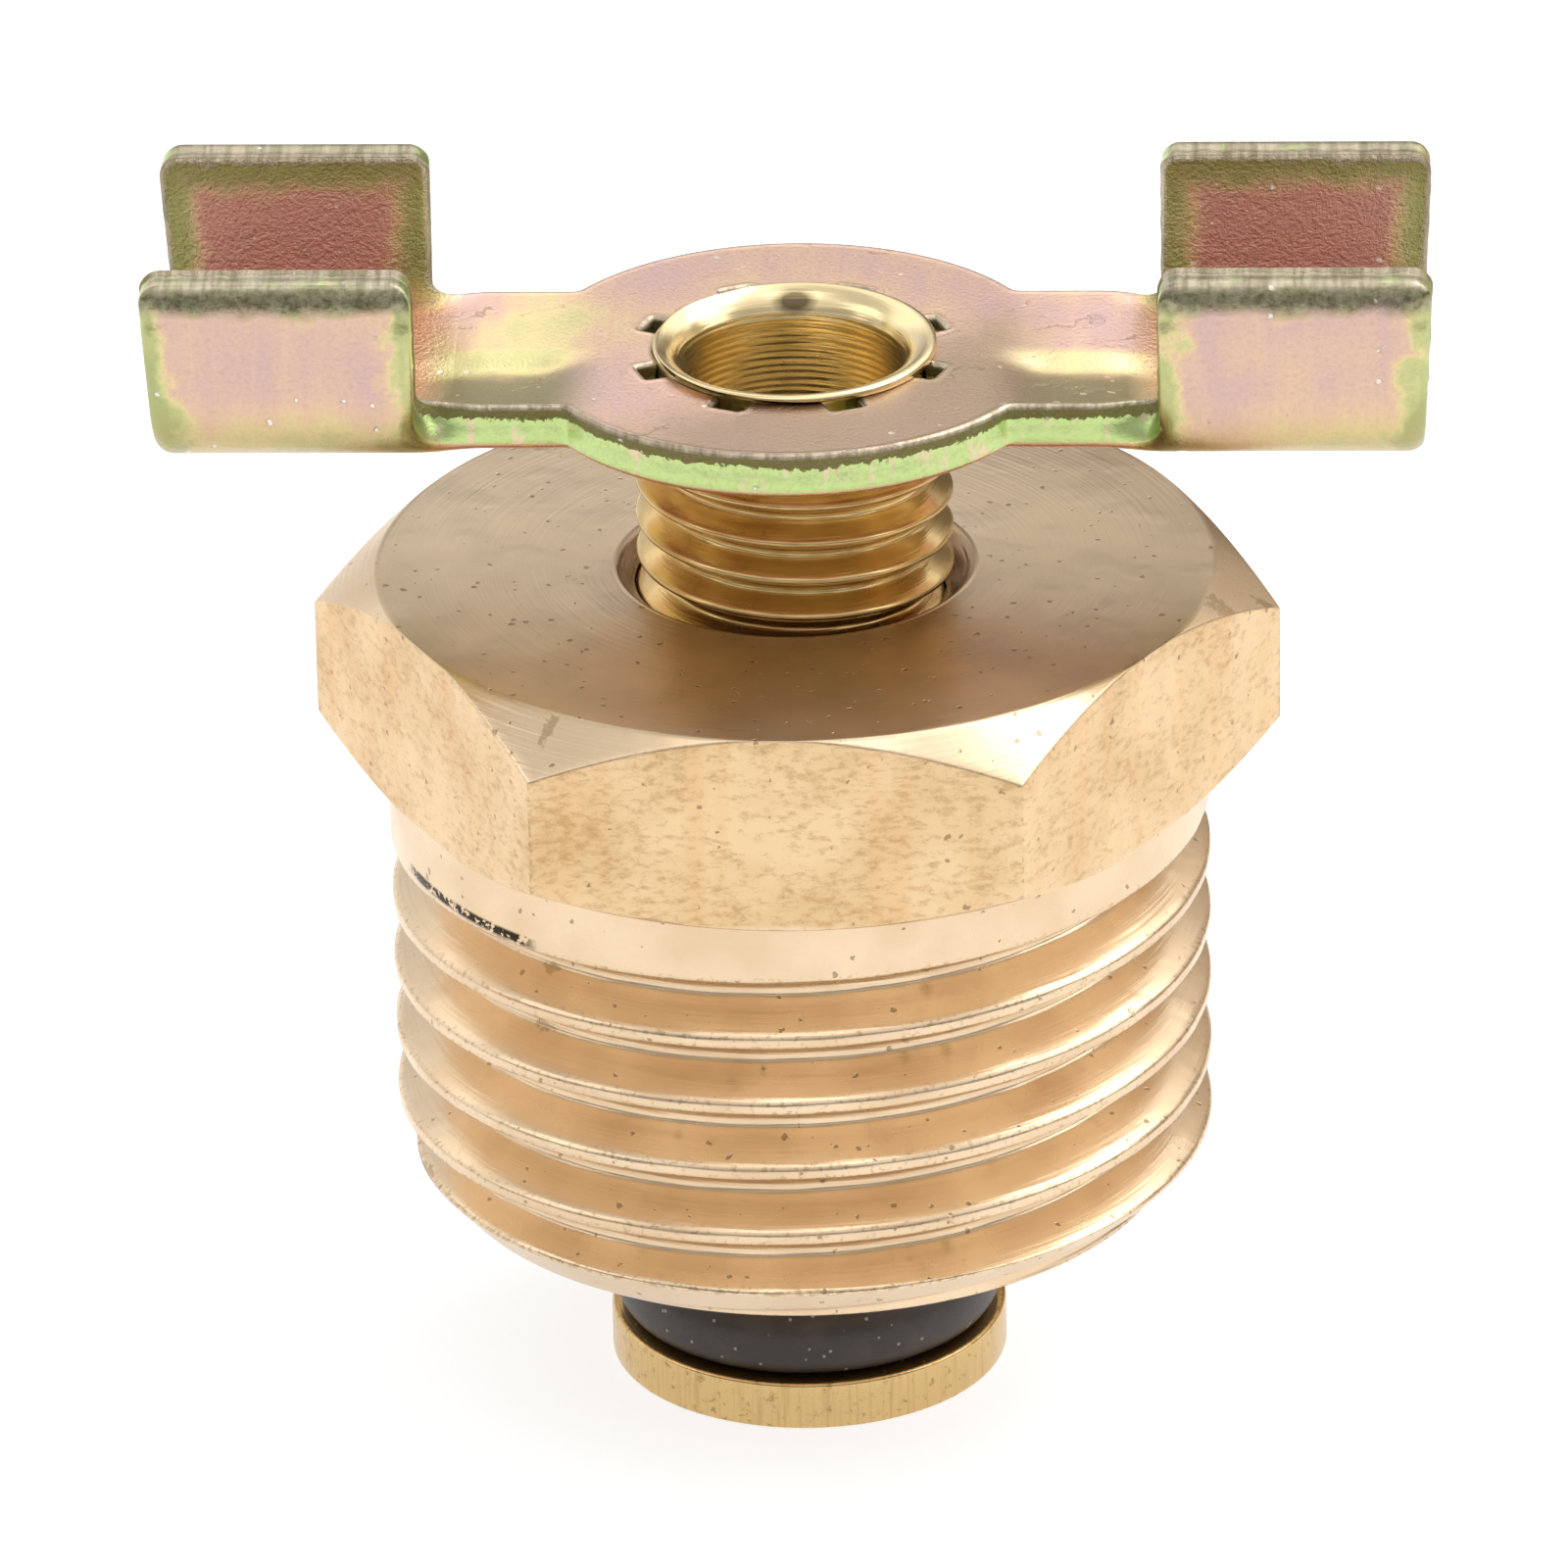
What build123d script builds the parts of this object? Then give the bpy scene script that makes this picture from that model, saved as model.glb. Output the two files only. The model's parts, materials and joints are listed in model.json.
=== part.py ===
from build123d import *
from math import ceil, floor, radians, sqrt, tan
import os

os.makedirs("parts", exist_ok=True)

# Brass drain cock for an air receiver, in millimetres. The part stands on the flange of its stem, and Z = 0
# is the underside of that flange. Every piece is turned about the Z axis.

# Hexagon of the body
hex_across_flats = 21.0
hex_height = 5.2
hex_turn = -3.4
hex_top_land_radius = 10.5
hex_top_chamfer_angle = 36.0
hex_bottom_land_radius = 10.45
hex_bottom_chamfer_angle = 30.0

# Pipe thread G 1/2, right-handed, below a plain collar
shank_length = 11.35
pipe_thread_diameter = 20.7
pipe_thread_pitch = 25.4 / 14
pipe_thread_depth = 1.16
pipe_thread_crest = 0.3
pipe_thread_half_angle = 27.5
pipe_thread_drop = 1.47
pipe_thread_end_turn = 60.0
shank_chamfer_width = 1.15
shank_chamfer_height = 1.3

# Seat and chamber inside the body, and the mouth of the stem's thread
seat_mouth_radius = 5.2
chamber_radius = 4.3
nut_thread_length = 8.6
nut_mouth_radius = 4.45

# Stem thread M8 x 1, left-handed, so that turning the handle clockwise lifts the seal onto its seat
stem_thread_diameter = 7.95
stem_thread_pitch = 1.0
stem_thread_depth = 0.61
stem_thread_crest = 0.125
stem_thread_half_angle = 30.0
stem_thread_length = 13.0
stem_thread_turn = 72.4
stem_thread_run_in = 1.3
thread_play = 0.05

# Flange, neck and bores of the stem
flange_diameter = 10.1
flange_thickness = 1.29
flange_edge = 0.12
neck_diameter = 5.7
drain_bore_diameter = 3.5
cross_hole_diameter = 3.0
cross_hole_height = 6.2
outlet_bore_diameter = 5.6
outlet_bore_depth = 4.1

# Swaged lip of the stem, which holds the handle
lip_height = 0.25
lip_overlap = 0.17
lip_rounding = 0.08
lip_land = 0.18
lip_flare_depth = 0.6
tail_play = 0.03

# O-ring
ring_section = 2.0
ring_outer_diameter = 9.85
ring_play = 0.02

# How far the seal stands off its seat, and the handle off the hexagon
valve_opening = 2.94
handle_clearance = 4.6

# Wing handle, pressed from sheet
sheet_thickness = 1.25
disc_diameter = 13.0
stem_hole_diameter = 6.9
notch_count = 8
notch_depth = 0.6
notch_width = 0.95
disc_flat_half_length = 4.6
arm_width = 7.0
arm_crease_root = 0.02
arm_crease_depth = 0.4
arm_crease_middle = -0.7
arm_crease_width = 0.8
wing_start = 9.2
wing_end = 15.9
wing_outer_width = 9.4
wing_height = 4.9
wing_drop = 0.15
wing_bend_radius = 2.0
wing_corner_radius = 0.5
wing_root_fillet = 0.9
wing_end_slant = 0.2
handle_turn = -2.4

# Heights that follow from the sizes above. The seat is a 45 degree cone, which the ring's section touches.
ring_centre_radius = (ring_outer_diameter - ring_section) / 2
ring_centre_height = flange_thickness + ring_play + ring_section / 2
seat_contact_rise = ring_section / 2 * sqrt(2) + ring_centre_radius - seat_mouth_radius
seat_height = seat_mouth_radius - chamber_radius
body_base = ring_centre_height + seat_contact_rise + valve_opening
hex_base = body_base + shank_length
hex_top = hex_base + hex_height
shoulder = hex_top + handle_clearance
sheet_top = shoulder + sheet_thickness
lip_top = sheet_top + lip_height

# Radii that follow
hex_flat_radius = hex_across_flats / 2
shank_radius = pipe_thread_diameter / 2
stem_thread_radius = stem_thread_diameter / 2
stem_thread_root = stem_thread_radius - stem_thread_depth
nut_minor_radius = stem_thread_root + thread_play
neck_radius = neck_diameter / 2
bore_radius = outlet_bore_diameter / 2
tail_radius = stem_hole_diameter / 2 - tail_play
lip_radius = stem_hole_diameter / 2 + lip_overlap


def section_plane(helix, parameter):
    """The plane square to a helix, with its X axis pointing away from the Z axis."""
    point = helix @ parameter
    outwards = Vector(point.X, point.Y, 0).normalized()
    return Plane(origin=point, x_dir=outwards, z_dir=helix % parameter)


def tool_points(outer, outer_half_width, inner, inner_half_width):
    """A threading tool's section, a trapezium set out from the thread's crest."""
    return [
        (outer, outer_half_width),
        (inner, inner_half_width),
        (inner, -inner_half_width),
        (outer, -outer_half_width),
    ]


# One turn of the pipe thread's groove, and its end, which leaves the shank along the helix's tangent
pipe_flank = tan(radians(pipe_thread_half_angle))
pipe_half_mouth = (pipe_thread_pitch - pipe_thread_crest) / 2
pipe_tool_reach = pipe_thread_crest / (4 * pipe_flank)
pipe_tool = tool_points(
    pipe_tool_reach,
    pipe_half_mouth + pipe_tool_reach * pipe_flank,
    -pipe_thread_depth,
    pipe_half_mouth - pipe_thread_depth * pipe_flank,
)

with BuildPart() as pipe_groove_turn:
    with BuildLine() as pipe_path:
        Helix(pipe_thread_pitch, pipe_thread_pitch, shank_radius)
    with BuildSketch(section_plane(pipe_path.line, 0)):
        Polygon(*pipe_tool, align=None)
    sweep(path=pipe_path.line, is_frenet=True)

with BuildPart() as pipe_groove_end:
    with BuildSketch(section_plane(pipe_path.line, 1)):
        Polygon(*pipe_tool, align=None)
    extrude(amount=shank_radius)

pipe_groove_top = hex_base - pipe_thread_drop
pipe_groove_turns = ceil((pipe_groove_top - body_base) / pipe_thread_pitch + 1 / 2)

# One turn of the stem thread's groove, and of the tap that cuts the thread for it in the body
stem_flank = tan(radians(stem_thread_half_angle))
stem_half_mouth = (stem_thread_pitch - stem_thread_crest) / 2
stem_tool_reach = stem_thread_crest / (4 * stem_flank)
stem_tool = tool_points(
    stem_tool_reach,
    stem_half_mouth + stem_tool_reach * stem_flank,
    -stem_thread_depth,
    stem_half_mouth - stem_thread_depth * stem_flank,
)
tap_half_crest = stem_thread_crest / 2 + thread_play
tap_depth = stem_thread_depth + stem_tool_reach
tap_tool = tool_points(
    thread_play,
    tap_half_crest,
    -tap_depth,
    tap_half_crest + tap_depth * stem_flank,
)

with BuildPart() as stem_groove_turn:
    with BuildLine() as stem_path:
        Helix(stem_thread_pitch, stem_thread_pitch, stem_thread_radius, lefthand=True)
    with BuildSketch(section_plane(stem_path.line, 0)):
        Polygon(*stem_tool, align=None)
    sweep(path=stem_path.line, is_frenet=True)

with BuildPart() as tap_turn:
    with BuildSketch(section_plane(stem_path.line, 0)):
        Polygon(*tap_tool, align=None)
    sweep(path=stem_path.line, is_frenet=True)

# The stem's groove starts below its thread, and the tap follows it half a pitch away
stem_thread_base = shoulder - stem_thread_length
stem_groove_start = stem_thread_base - stem_thread_run_in * stem_thread_pitch
stem_groove_turns = ceil((shoulder - stem_groove_start) / stem_thread_pitch + 1 / 2)
nut_thread_base = hex_top - nut_thread_length
tap_skipped_turns = floor((nut_thread_base - stem_groove_start) / stem_thread_pitch) - 1
tap_start = stem_groove_start + (tap_skipped_turns + 1 / 2) * stem_thread_pitch
tap_turns = ceil((hex_top - tap_start) / stem_thread_pitch + 1 / 2)

# Body: a hexagon faced at both ends, a threaded shank, and a bore with the seat at its lower mouth
with BuildPart() as valve_body:
    with BuildSketch(Plane.XY.offset(hex_base)):
        RegularPolygon(hex_flat_radius, 6, major_radius=False, rotation=hex_turn)
    extrude(amount=hex_height)
    with BuildSketch(Plane.XZ):
        Polygon(
            (0, hex_base),
            (hex_bottom_land_radius, hex_base),
            (
                hex_bottom_land_radius + hex_flat_radius,
                hex_base + hex_flat_radius * tan(radians(hex_bottom_chamfer_angle)),
            ),
            (
                hex_top_land_radius + hex_flat_radius,
                hex_top - hex_flat_radius * tan(radians(hex_top_chamfer_angle)),
            ),
            (hex_top_land_radius, hex_top),
            (0, hex_top),
            align=None,
        )
    revolve(axis=Axis.Z, mode=Mode.INTERSECT)
    with BuildSketch(Plane.XZ):
        Polygon(
            (0, body_base),
            (shank_radius - shank_chamfer_width, body_base),
            (shank_radius, body_base + shank_chamfer_height),
            (shank_radius, hex_base),
            (0, hex_base),
            align=None,
        )
    revolve(axis=Axis.Z)
    for turn in range(pipe_groove_turns):
        turn_base = pipe_groove_top - (turn + 1) * pipe_thread_pitch
        with Locations(Location((0, 0, turn_base), (0, 0, pipe_thread_end_turn))):
            add(pipe_groove_turn.part, mode=Mode.SUBTRACT)
    with Locations(Location((0, 0, pipe_groove_top - pipe_thread_pitch), (0, 0, pipe_thread_end_turn))):
        add(pipe_groove_end.part, mode=Mode.SUBTRACT)
    with BuildSketch(Plane.XZ):
        Polygon(
            (0, body_base),
            (seat_mouth_radius, body_base),
            (chamber_radius, body_base + seat_height),
            (chamber_radius, nut_thread_base),
            (nut_minor_radius, nut_thread_base + chamber_radius - nut_minor_radius),
            (nut_minor_radius, hex_top - nut_mouth_radius + nut_minor_radius),
            (nut_mouth_radius, hex_top),
            (0, hex_top),
            align=None,
        )
    revolve(axis=Axis.Z, mode=Mode.SUBTRACT)
    for turn in range(tap_turns):
        turn_base = tap_start + turn * stem_thread_pitch
        with Locations(Location((0, 0, turn_base), (0, 0, stem_thread_turn))):
            add(tap_turn.part, mode=Mode.SUBTRACT)
valve_body.part.label = "valve_body"

# Stem: turned bar with a flange, a neck, the fine thread, and the tail that is swaged over the handle
with BuildPart() as stem:
    with BuildSketch(Plane.XZ):
        Polygon(
            (0, stem_thread_base),
            (neck_radius, stem_thread_base),
            (stem_thread_radius, stem_thread_base + stem_thread_radius - neck_radius),
            (stem_thread_radius, shoulder),
            (0, shoulder),
            align=None,
        )
    revolve(axis=Axis.Z)
    for turn in range(stem_groove_turns):
        turn_base = stem_groove_start + turn * stem_thread_pitch
        with Locations(Location((0, 0, turn_base), (0, 0, stem_thread_turn))):
            add(stem_groove_turn.part, mode=Mode.SUBTRACT)
    with BuildSketch(Plane.XZ):
        Polygon(
            (0, 0),
            (flange_diameter / 2 - flange_edge, 0),
            (flange_diameter / 2, flange_edge),
            (flange_diameter / 2, flange_thickness - flange_edge),
            (flange_diameter / 2 - flange_edge, flange_thickness),
            (neck_radius, flange_thickness),
            (neck_radius, stem_thread_base),
            (0, stem_thread_base),
            align=None,
        )
    revolve(axis=Axis.Z)
    with BuildSketch(Plane.XZ):
        Polygon(
            (0, shoulder),
            (tail_radius, shoulder),
            (tail_radius, sheet_top),
            (lip_radius, sheet_top),
            (lip_radius, lip_top - lip_rounding),
            (lip_radius - lip_rounding, lip_top),
            (0, lip_top),
            align=None,
        )
    revolve(axis=Axis.Z)
    with BuildSketch(Plane.XZ):
        Polygon(
            (0, cross_hole_height),
            (drain_bore_diameter / 2, cross_hole_height),
            (drain_bore_diameter / 2, lip_top - outlet_bore_depth),
            (bore_radius, lip_top - outlet_bore_depth),
            (bore_radius, lip_top - lip_flare_depth),
            (lip_radius - lip_land, lip_top),
            (0, lip_top),
            align=None,
        )
    revolve(axis=Axis.Z, mode=Mode.SUBTRACT)
    with BuildSketch(Plane.XZ.offset(-neck_diameter)):
        with Locations((0, cross_hole_height)):
            Circle(cross_hole_diameter / 2)
    extrude(amount=2 * neck_diameter, mode=Mode.SUBTRACT)
stem.part.label = "stem"

# O-ring: one turn of round section on the flange
with BuildPart() as o_ring:
    with BuildSketch(Plane.XZ):
        with Locations((ring_centre_radius, ring_centre_height)):
            Circle(ring_section / 2)
    revolve(axis=Axis.Z)
o_ring.part.label = "o_ring"


def creased_strip(distance, crease, drop):
    """The arm's section: a strip of sheet, level behind its crease and rising again in front of it."""
    half_width = arm_width / 2
    crease_back = arm_crease_middle + arm_crease_width
    top = sheet_top - drop
    bottom = shoulder - drop
    with BuildSketch(Plane.YZ.offset(distance)) as section:
        Polygon(
            (-half_width, top),
            (arm_crease_middle, top - crease),
            (crease_back, top),
            (half_width, top),
            (half_width, bottom),
            (crease_back, bottom),
            (arm_crease_middle, bottom - crease),
            (-half_width, bottom),
            align=None,
        )
    return section.sketch


# The wing, a sheet channel open at the top, with the arm's crease along its floor
wing_root = wing_start - wing_root_fillet
wing_floor = shoulder - wing_drop
wing_base = wing_floor - arm_crease_depth
wing_crown = shoulder + wing_height
wall_middle = (wing_outer_width - sheet_thickness) / 2
floor_middle = wing_floor + sheet_thickness / 2

with BuildPart() as wing:
    with BuildSketch(Plane.YZ.offset(wing_root)):
        with BuildLine():
            FilletPolyline(
                (-wall_middle, wing_crown),
                (-wall_middle, floor_middle),
                (arm_crease_middle, floor_middle - arm_crease_depth),
                (arm_crease_middle + arm_crease_width, floor_middle),
                (wall_middle, floor_middle),
                (wall_middle, wing_crown),
                radius=wing_bend_radius - sheet_thickness / 2,
            )
            offset(amount=sheet_thickness / 2)
        make_face()
    extrude(amount=wing_end - wing_root)
    with BuildSketch(Plane.XZ):
        with BuildLine():
            Polyline(
                (wing_root, sheet_top),
                (wing_root, wing_base),
                (wing_end - wing_end_slant, wing_base),
                (wing_end, wing_crown),
                (wing_start, wing_crown),
                (wing_start, sheet_top + wing_root_fillet),
            )
            RadiusArc(
                (wing_start, sheet_top + wing_root_fillet),
                (wing_root, sheet_top),
                wing_root_fillet,
            )
        make_face()
    extrude(amount=wing_outer_width, both=True, mode=Mode.INTERSECT)
    with BuildSketch(Plane.XY.offset(wing_base)):
        with BuildLine():
            Polyline(
                (wing_root, 0),
                (wing_root, arm_width / 2),
            )
            RadiusArc(
                (wing_root, arm_width / 2),
                (wing_start, arm_width / 2 + wing_root_fillet),
                -wing_root_fillet,
            )
            Polyline(
                (wing_start, arm_width / 2 + wing_root_fillet),
                (wing_start, wing_outer_width / 2),
                (wing_end, wing_outer_width / 2),
                (wing_end, 0),
                (wing_root, 0),
            )
        make_face()
        mirror(about=Plane.XZ)
    extrude(amount=wing_crown - wing_base, mode=Mode.INTERSECT)
    crown_corners = wing.edges().filter_by(Axis.Y).group_by(Axis.Z)[-1]
    fillet(crown_corners, wing_corner_radius)

# The arm, flat at the disc and creased where it meets the wing
with BuildPart() as arm:
    loft(sections=[
        creased_strip(disc_flat_half_length, arm_crease_root, 0),
        creased_strip(wing_start, arm_crease_depth, wing_drop),
    ], ruled=True)

# The whole blank, along X, with the notched hole for the stem's tail
with BuildPart() as handle_blank:
    with BuildSketch(Plane.XY.offset(shoulder)):
        Circle(disc_diameter / 2)
    extrude(amount=sheet_thickness)
    add(arm.part)
    add(wing.part)
    mirror(arm.part, about=Plane.YZ)
    mirror(wing.part, about=Plane.YZ)
    with BuildSketch(Plane.XY.offset(shoulder)):
        Circle(stem_hole_diameter / 2)
        with PolarLocations(stem_hole_diameter / 2, notch_count, start_angle=180 / notch_count):
            Rectangle(2 * notch_depth, notch_width)
    extrude(amount=sheet_thickness, mode=Mode.SUBTRACT)

# The handle, as it stands over the body in the half-open valve
with BuildPart() as wing_handle:
    with Locations(Rotation(0, 0, handle_turn)):
        add(handle_blank.part)
wing_handle.part.label = "wing_handle"

for piece in (valve_body, stem, o_ring, wing_handle):
    export_step(piece.part, f"parts/{piece.part.label}.step")
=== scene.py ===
# %% [markdown]
# # A brass drain cock
# A drain cock lets the water out of the bottom of an air receiver. A hexagon body screws into the receiver,
# and a hollow stem screws through the body. A rubber ring on the stem's flange seals against the body, and
# a pressed wing handle is staked to the stem's top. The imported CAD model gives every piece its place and
# its size. This lesson rebuilds each piece on top of it, with the edges and the finish that its making
# left.

import json
from math import atan2, cos, pi, radians, sin, sqrt, tan

import bmesh
import bpy
import numpy as np
from mathutils import Matrix, Vector
from mathutils.geometry import delaunay_2d_cdt

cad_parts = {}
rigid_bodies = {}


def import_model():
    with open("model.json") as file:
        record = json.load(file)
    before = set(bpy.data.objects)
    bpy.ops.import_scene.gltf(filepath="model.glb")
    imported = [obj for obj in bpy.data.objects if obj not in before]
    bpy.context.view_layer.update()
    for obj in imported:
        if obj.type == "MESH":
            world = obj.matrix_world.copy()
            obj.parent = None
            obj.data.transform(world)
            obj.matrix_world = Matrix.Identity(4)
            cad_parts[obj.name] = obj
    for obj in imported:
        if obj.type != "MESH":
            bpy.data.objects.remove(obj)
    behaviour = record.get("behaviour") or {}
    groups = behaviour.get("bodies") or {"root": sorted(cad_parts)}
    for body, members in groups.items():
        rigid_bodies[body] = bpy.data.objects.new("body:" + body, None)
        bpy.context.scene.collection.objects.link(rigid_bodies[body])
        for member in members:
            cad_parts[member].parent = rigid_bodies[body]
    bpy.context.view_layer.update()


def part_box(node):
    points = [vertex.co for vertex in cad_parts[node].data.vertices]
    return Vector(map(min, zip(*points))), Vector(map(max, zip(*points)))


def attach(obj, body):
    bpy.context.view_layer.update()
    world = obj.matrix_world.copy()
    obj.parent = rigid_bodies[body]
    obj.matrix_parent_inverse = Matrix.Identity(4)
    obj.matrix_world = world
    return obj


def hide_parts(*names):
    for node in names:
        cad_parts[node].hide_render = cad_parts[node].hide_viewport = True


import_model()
scene = bpy.context.scene
mm = 0.001

# %% [markdown]
# ## Heights and radii
# The sizes are the CAD model's own, in millimetres. The heights that depend on how far the valve stands open
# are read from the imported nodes, so the pieces follow the model if it moves.

# %% Heights and radii
body_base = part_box("valve_body")[0].z / mm
hex_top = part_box("valve_body")[1].z / mm
lip_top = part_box("stem")[1].z / mm
shank_length = 11.35
hex_base = body_base + shank_length
lip_height = 0.25
sheet_thickness = 1.25
sheet_top = lip_top - lip_height
shoulder = sheet_top - sheet_thickness

hex_flat_radius = 10.5
hex_turn = radians(-3.4)
shank_radius = 10.35
stem_thread_radius = 3.975
stem_thread_root = 3.365
thread_play = 0.05
nut_minor_radius = stem_thread_root + thread_play
print("body", round(body_base, 2), "to", round(hex_top, 2), "shoulder", round(shoulder, 2))

# %% [markdown]
# ## Adding a node
# Materials and Geometry Nodes are both trees of nodes. One function adds a node, sets it and links it, so
# that each line below reads as one step of the recipe.

# %% A helper that adds one node
def add_node(tree, kind, inputs=None, **settings):
    """Adds a node. An input is given a value, a socket, or a node whose first output it takes."""
    made = tree.nodes.new(kind)
    for name, value in settings.items():
        setattr(made, name, value)
    for key, value in (inputs or {}).items():
        source = value.outputs[0] if isinstance(value, bpy.types.Node) else value
        if isinstance(source, bpy.types.NodeSocket):
            tree.links.new(source, made.inputs[key])
        else:
            made.inputs[key].default_value = source
    return made


# %% [markdown]
# ## Colours and starting a material
# Colours are written as sRGB hex values, as a paint chart gives them, and turned to the linear values that
# the renderer works in. Patterns are sized in real millimetres: a noise whose scale is one over a length
# has blobs of about that length. Each material is made just before the piece that wears it.

# %% Colours and pattern sizes
def linear(hex_colour):
    """A linear RGBA colour from an sRGB hex value."""
    channels = [int(hex_colour[place:place + 2], 16) / 255 for place in (1, 3, 5)]
    straight = [value / 12.92 if value <= 0.04045 else ((value + 0.055) / 1.055) ** 2.4 for value in channels]
    return straight + [1.0]


def per_mm(size):
    """The texture scale that gives a pattern of this size in millimetres."""
    return 1 / (size * mm)


def start_material(name):
    """A new material, its tree and its shader."""
    material = bpy.data.materials.new(name)
    material.use_nodes = True
    return material, material.node_tree, material.node_tree.nodes["Principled BSDF"]


# %% [markdown]
# ## Turned blanks
# The body, the stem and the ring are turned: each is a profile spun about the Z axis. A grid of points does
# this, with one column for each angle and one row for each point of the profile. Real machined edges are
# never quite sharp, so each corner of the profile is rounded by a small curve that catches the light. A
# corner may also change with the angle, which is how a hexagon is cut from round bar.

# %% A helper that rounds and fills a profile
def profile_rows(corners, closed):
    """Rows of (radius, height) from corners given as (radius, height, rounding, steps to the next corner)."""
    count = len(corners)
    points = [np.stack(np.broadcast_arrays(*corner[:2]), -1).reshape(-1, 2) for corner in corners]
    rows = []
    for index, (_, _, rounding, steps) in enumerate(corners):
        here = points[index]
        start = end = here
        if closed or 0 < index < count - 1:
            before = points[index - 1]
            after = points[(index + 1) % count]
            reach_back = np.linalg.norm(before - here, axis=-1, keepdims=True)
            reach_on = np.linalg.norm(after - here, axis=-1, keepdims=True)
            cut_back = np.minimum(rounding, 0.45 * reach_back) / np.maximum(reach_back, 1e-6)
            cut_on = np.minimum(rounding, 0.45 * reach_on) / np.maximum(reach_on, 1e-6)
            start = here + (before - here) * cut_back
            end = here + (after - here) * cut_on
        corner_steps = 4
        for step in range(corner_steps + 1):
            t = step / corner_steps
            rows.append((1 - t) ** 2 * start + 2 * t * (1 - t) * here + t ** 2 * end)
        if closed or index < count - 1:
            after = points[(index + 1) % count]
            rounding_after = corners[(index + 1) % count][2]
            reach_on = np.linalg.norm(after - here, axis=-1, keepdims=True)
            cut = np.minimum(rounding_after, 0.45 * reach_on) / np.maximum(reach_on, 1e-6)
            stop = after + (here - after) * cut
            if not closed and index == count - 2:
                stop = after
            rows += [end + (stop - end) * step / steps for step in range(1, steps)]
    return np.array(np.broadcast_arrays(*rows))


# %% A helper that spins the rows into a mesh
def spin_rows(name, rows, angles, closed):
    """A closed surface of quads from rows of (radius, height), in millimetres, at the given angles."""
    row_count, column_count = len(rows), len(angles)
    radius = np.broadcast_to(rows[..., 0], (row_count, column_count))
    height = np.broadcast_to(rows[..., 1], (row_count, column_count))
    points = np.stack([radius * np.cos(angles), radius * np.sin(angles), height], -1).reshape(-1, 3)
    mesh = bpy.data.meshes.new(name)
    across = np.arange(column_count)
    beside = (across + 1) % column_count
    quads = []
    for row in range(row_count if closed else row_count - 1):
        here, above = row * column_count, (row + 1) % row_count * column_count
        quads.append(np.stack([here + across, here + beside, above + beside, above + across], -1))
    mesh.from_pydata(points * mm, [], np.concatenate(quads).tolist())
    made = bpy.data.objects.new(name, mesh)
    scene.collection.objects.link(made)
    merge_and_turn_out(made)
    return made


def merge_and_turn_out(piece):
    """Merges doubles, turns the faces outwards and shades them smooth."""
    shape = bmesh.new()
    shape.from_mesh(piece.data)
    bmesh.ops.remove_doubles(shape, verts=shape.verts, dist=0.0005 * mm)
    bmesh.ops.dissolve_degenerate(shape, edges=shape.edges, dist=0.0002 * mm)
    bmesh.ops.recalc_face_normals(shape, faces=shape.faces)
    shape.to_mesh(piece.data)
    shape.free()
    piece.data.shade_smooth()


# %% [markdown]
# ## Trees that move points
# A thread and a fold both follow a rule, so Geometry Nodes make them: a tree works out for every point of a
# blank where it goes. Each tree has a named input for each of its sizes. It ends by making instances real and
# by giving the faces their material, and its result becomes the piece's own mesh.

# %% Helpers that start and end a tree
def start_tree(name, sizes):
    """A Geometry Nodes tree with a number input for each size and an input for the material."""
    made = bpy.data.node_groups.new(name, "GeometryNodeTree")
    made.interface.new_socket("Geometry", in_out="INPUT", socket_type="NodeSocketGeometry")
    for size in sizes:
        made.interface.new_socket(size, in_out="INPUT", socket_type="NodeSocketFloat")
    made.interface.new_socket("Material", in_out="INPUT", socket_type="NodeSocketMaterial")
    made.interface.new_socket("Geometry", in_out="OUTPUT", socket_type="NodeSocketGeometry")
    return made


def end_tree(tree, geometry, material):
    """Ends a tree: no instances are left, and every face has the material."""
    real = add_node(tree, "GeometryNodeRealizeInstances", {0: geometry})
    coated = add_node(tree, "GeometryNodeSetMaterial", {"Geometry": real, "Material": material})
    add_node(tree, "NodeGroupOutput", {"Geometry": coated})
    print(tree.name, "tree:", len(tree.nodes), "nodes")


# %% Helpers that run a tree and keep its result
def apply_tree(piece, tree, values):
    """Runs a Geometry Nodes tree on the piece with the named inputs, and makes the result its mesh."""
    modifier = piece.modifiers.new(tree.name, "NODES")
    modifier.node_group = tree
    for socket in tree.interface.items_tree:
        if socket.in_out == "INPUT" and socket.name in values:
            modifier[socket.identifier] = values[socket.name]
    keep_result(piece)


def keep_result(piece):
    """Makes the evaluated mesh the piece's own, and removes its modifiers."""
    graph = bpy.context.evaluated_depsgraph_get()
    result = bpy.data.meshes.new_from_object(piece.evaluated_get(graph))
    piece.modifiers.clear()
    piece.data = result


def triangle_count(piece):
    """How many triangles the piece has when its faces are split."""
    return sum(len(face.vertices) - 2 for face in piece.data.polygons)


# %% [markdown]
# ## Cutting a screw thread
# A thread is a groove that climbs one pitch for each turn, so how far a point lies from the groove depends
# only on its angle and its height. The tree works that out and pulls the point in to the groove's floor or
# flank. The smooth maximum and minimum leave the roots and crests slightly rounded, as a cutting tool does.
# Past the last turn the tool leaves the work along a straight line, so the groove fades out.

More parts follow.
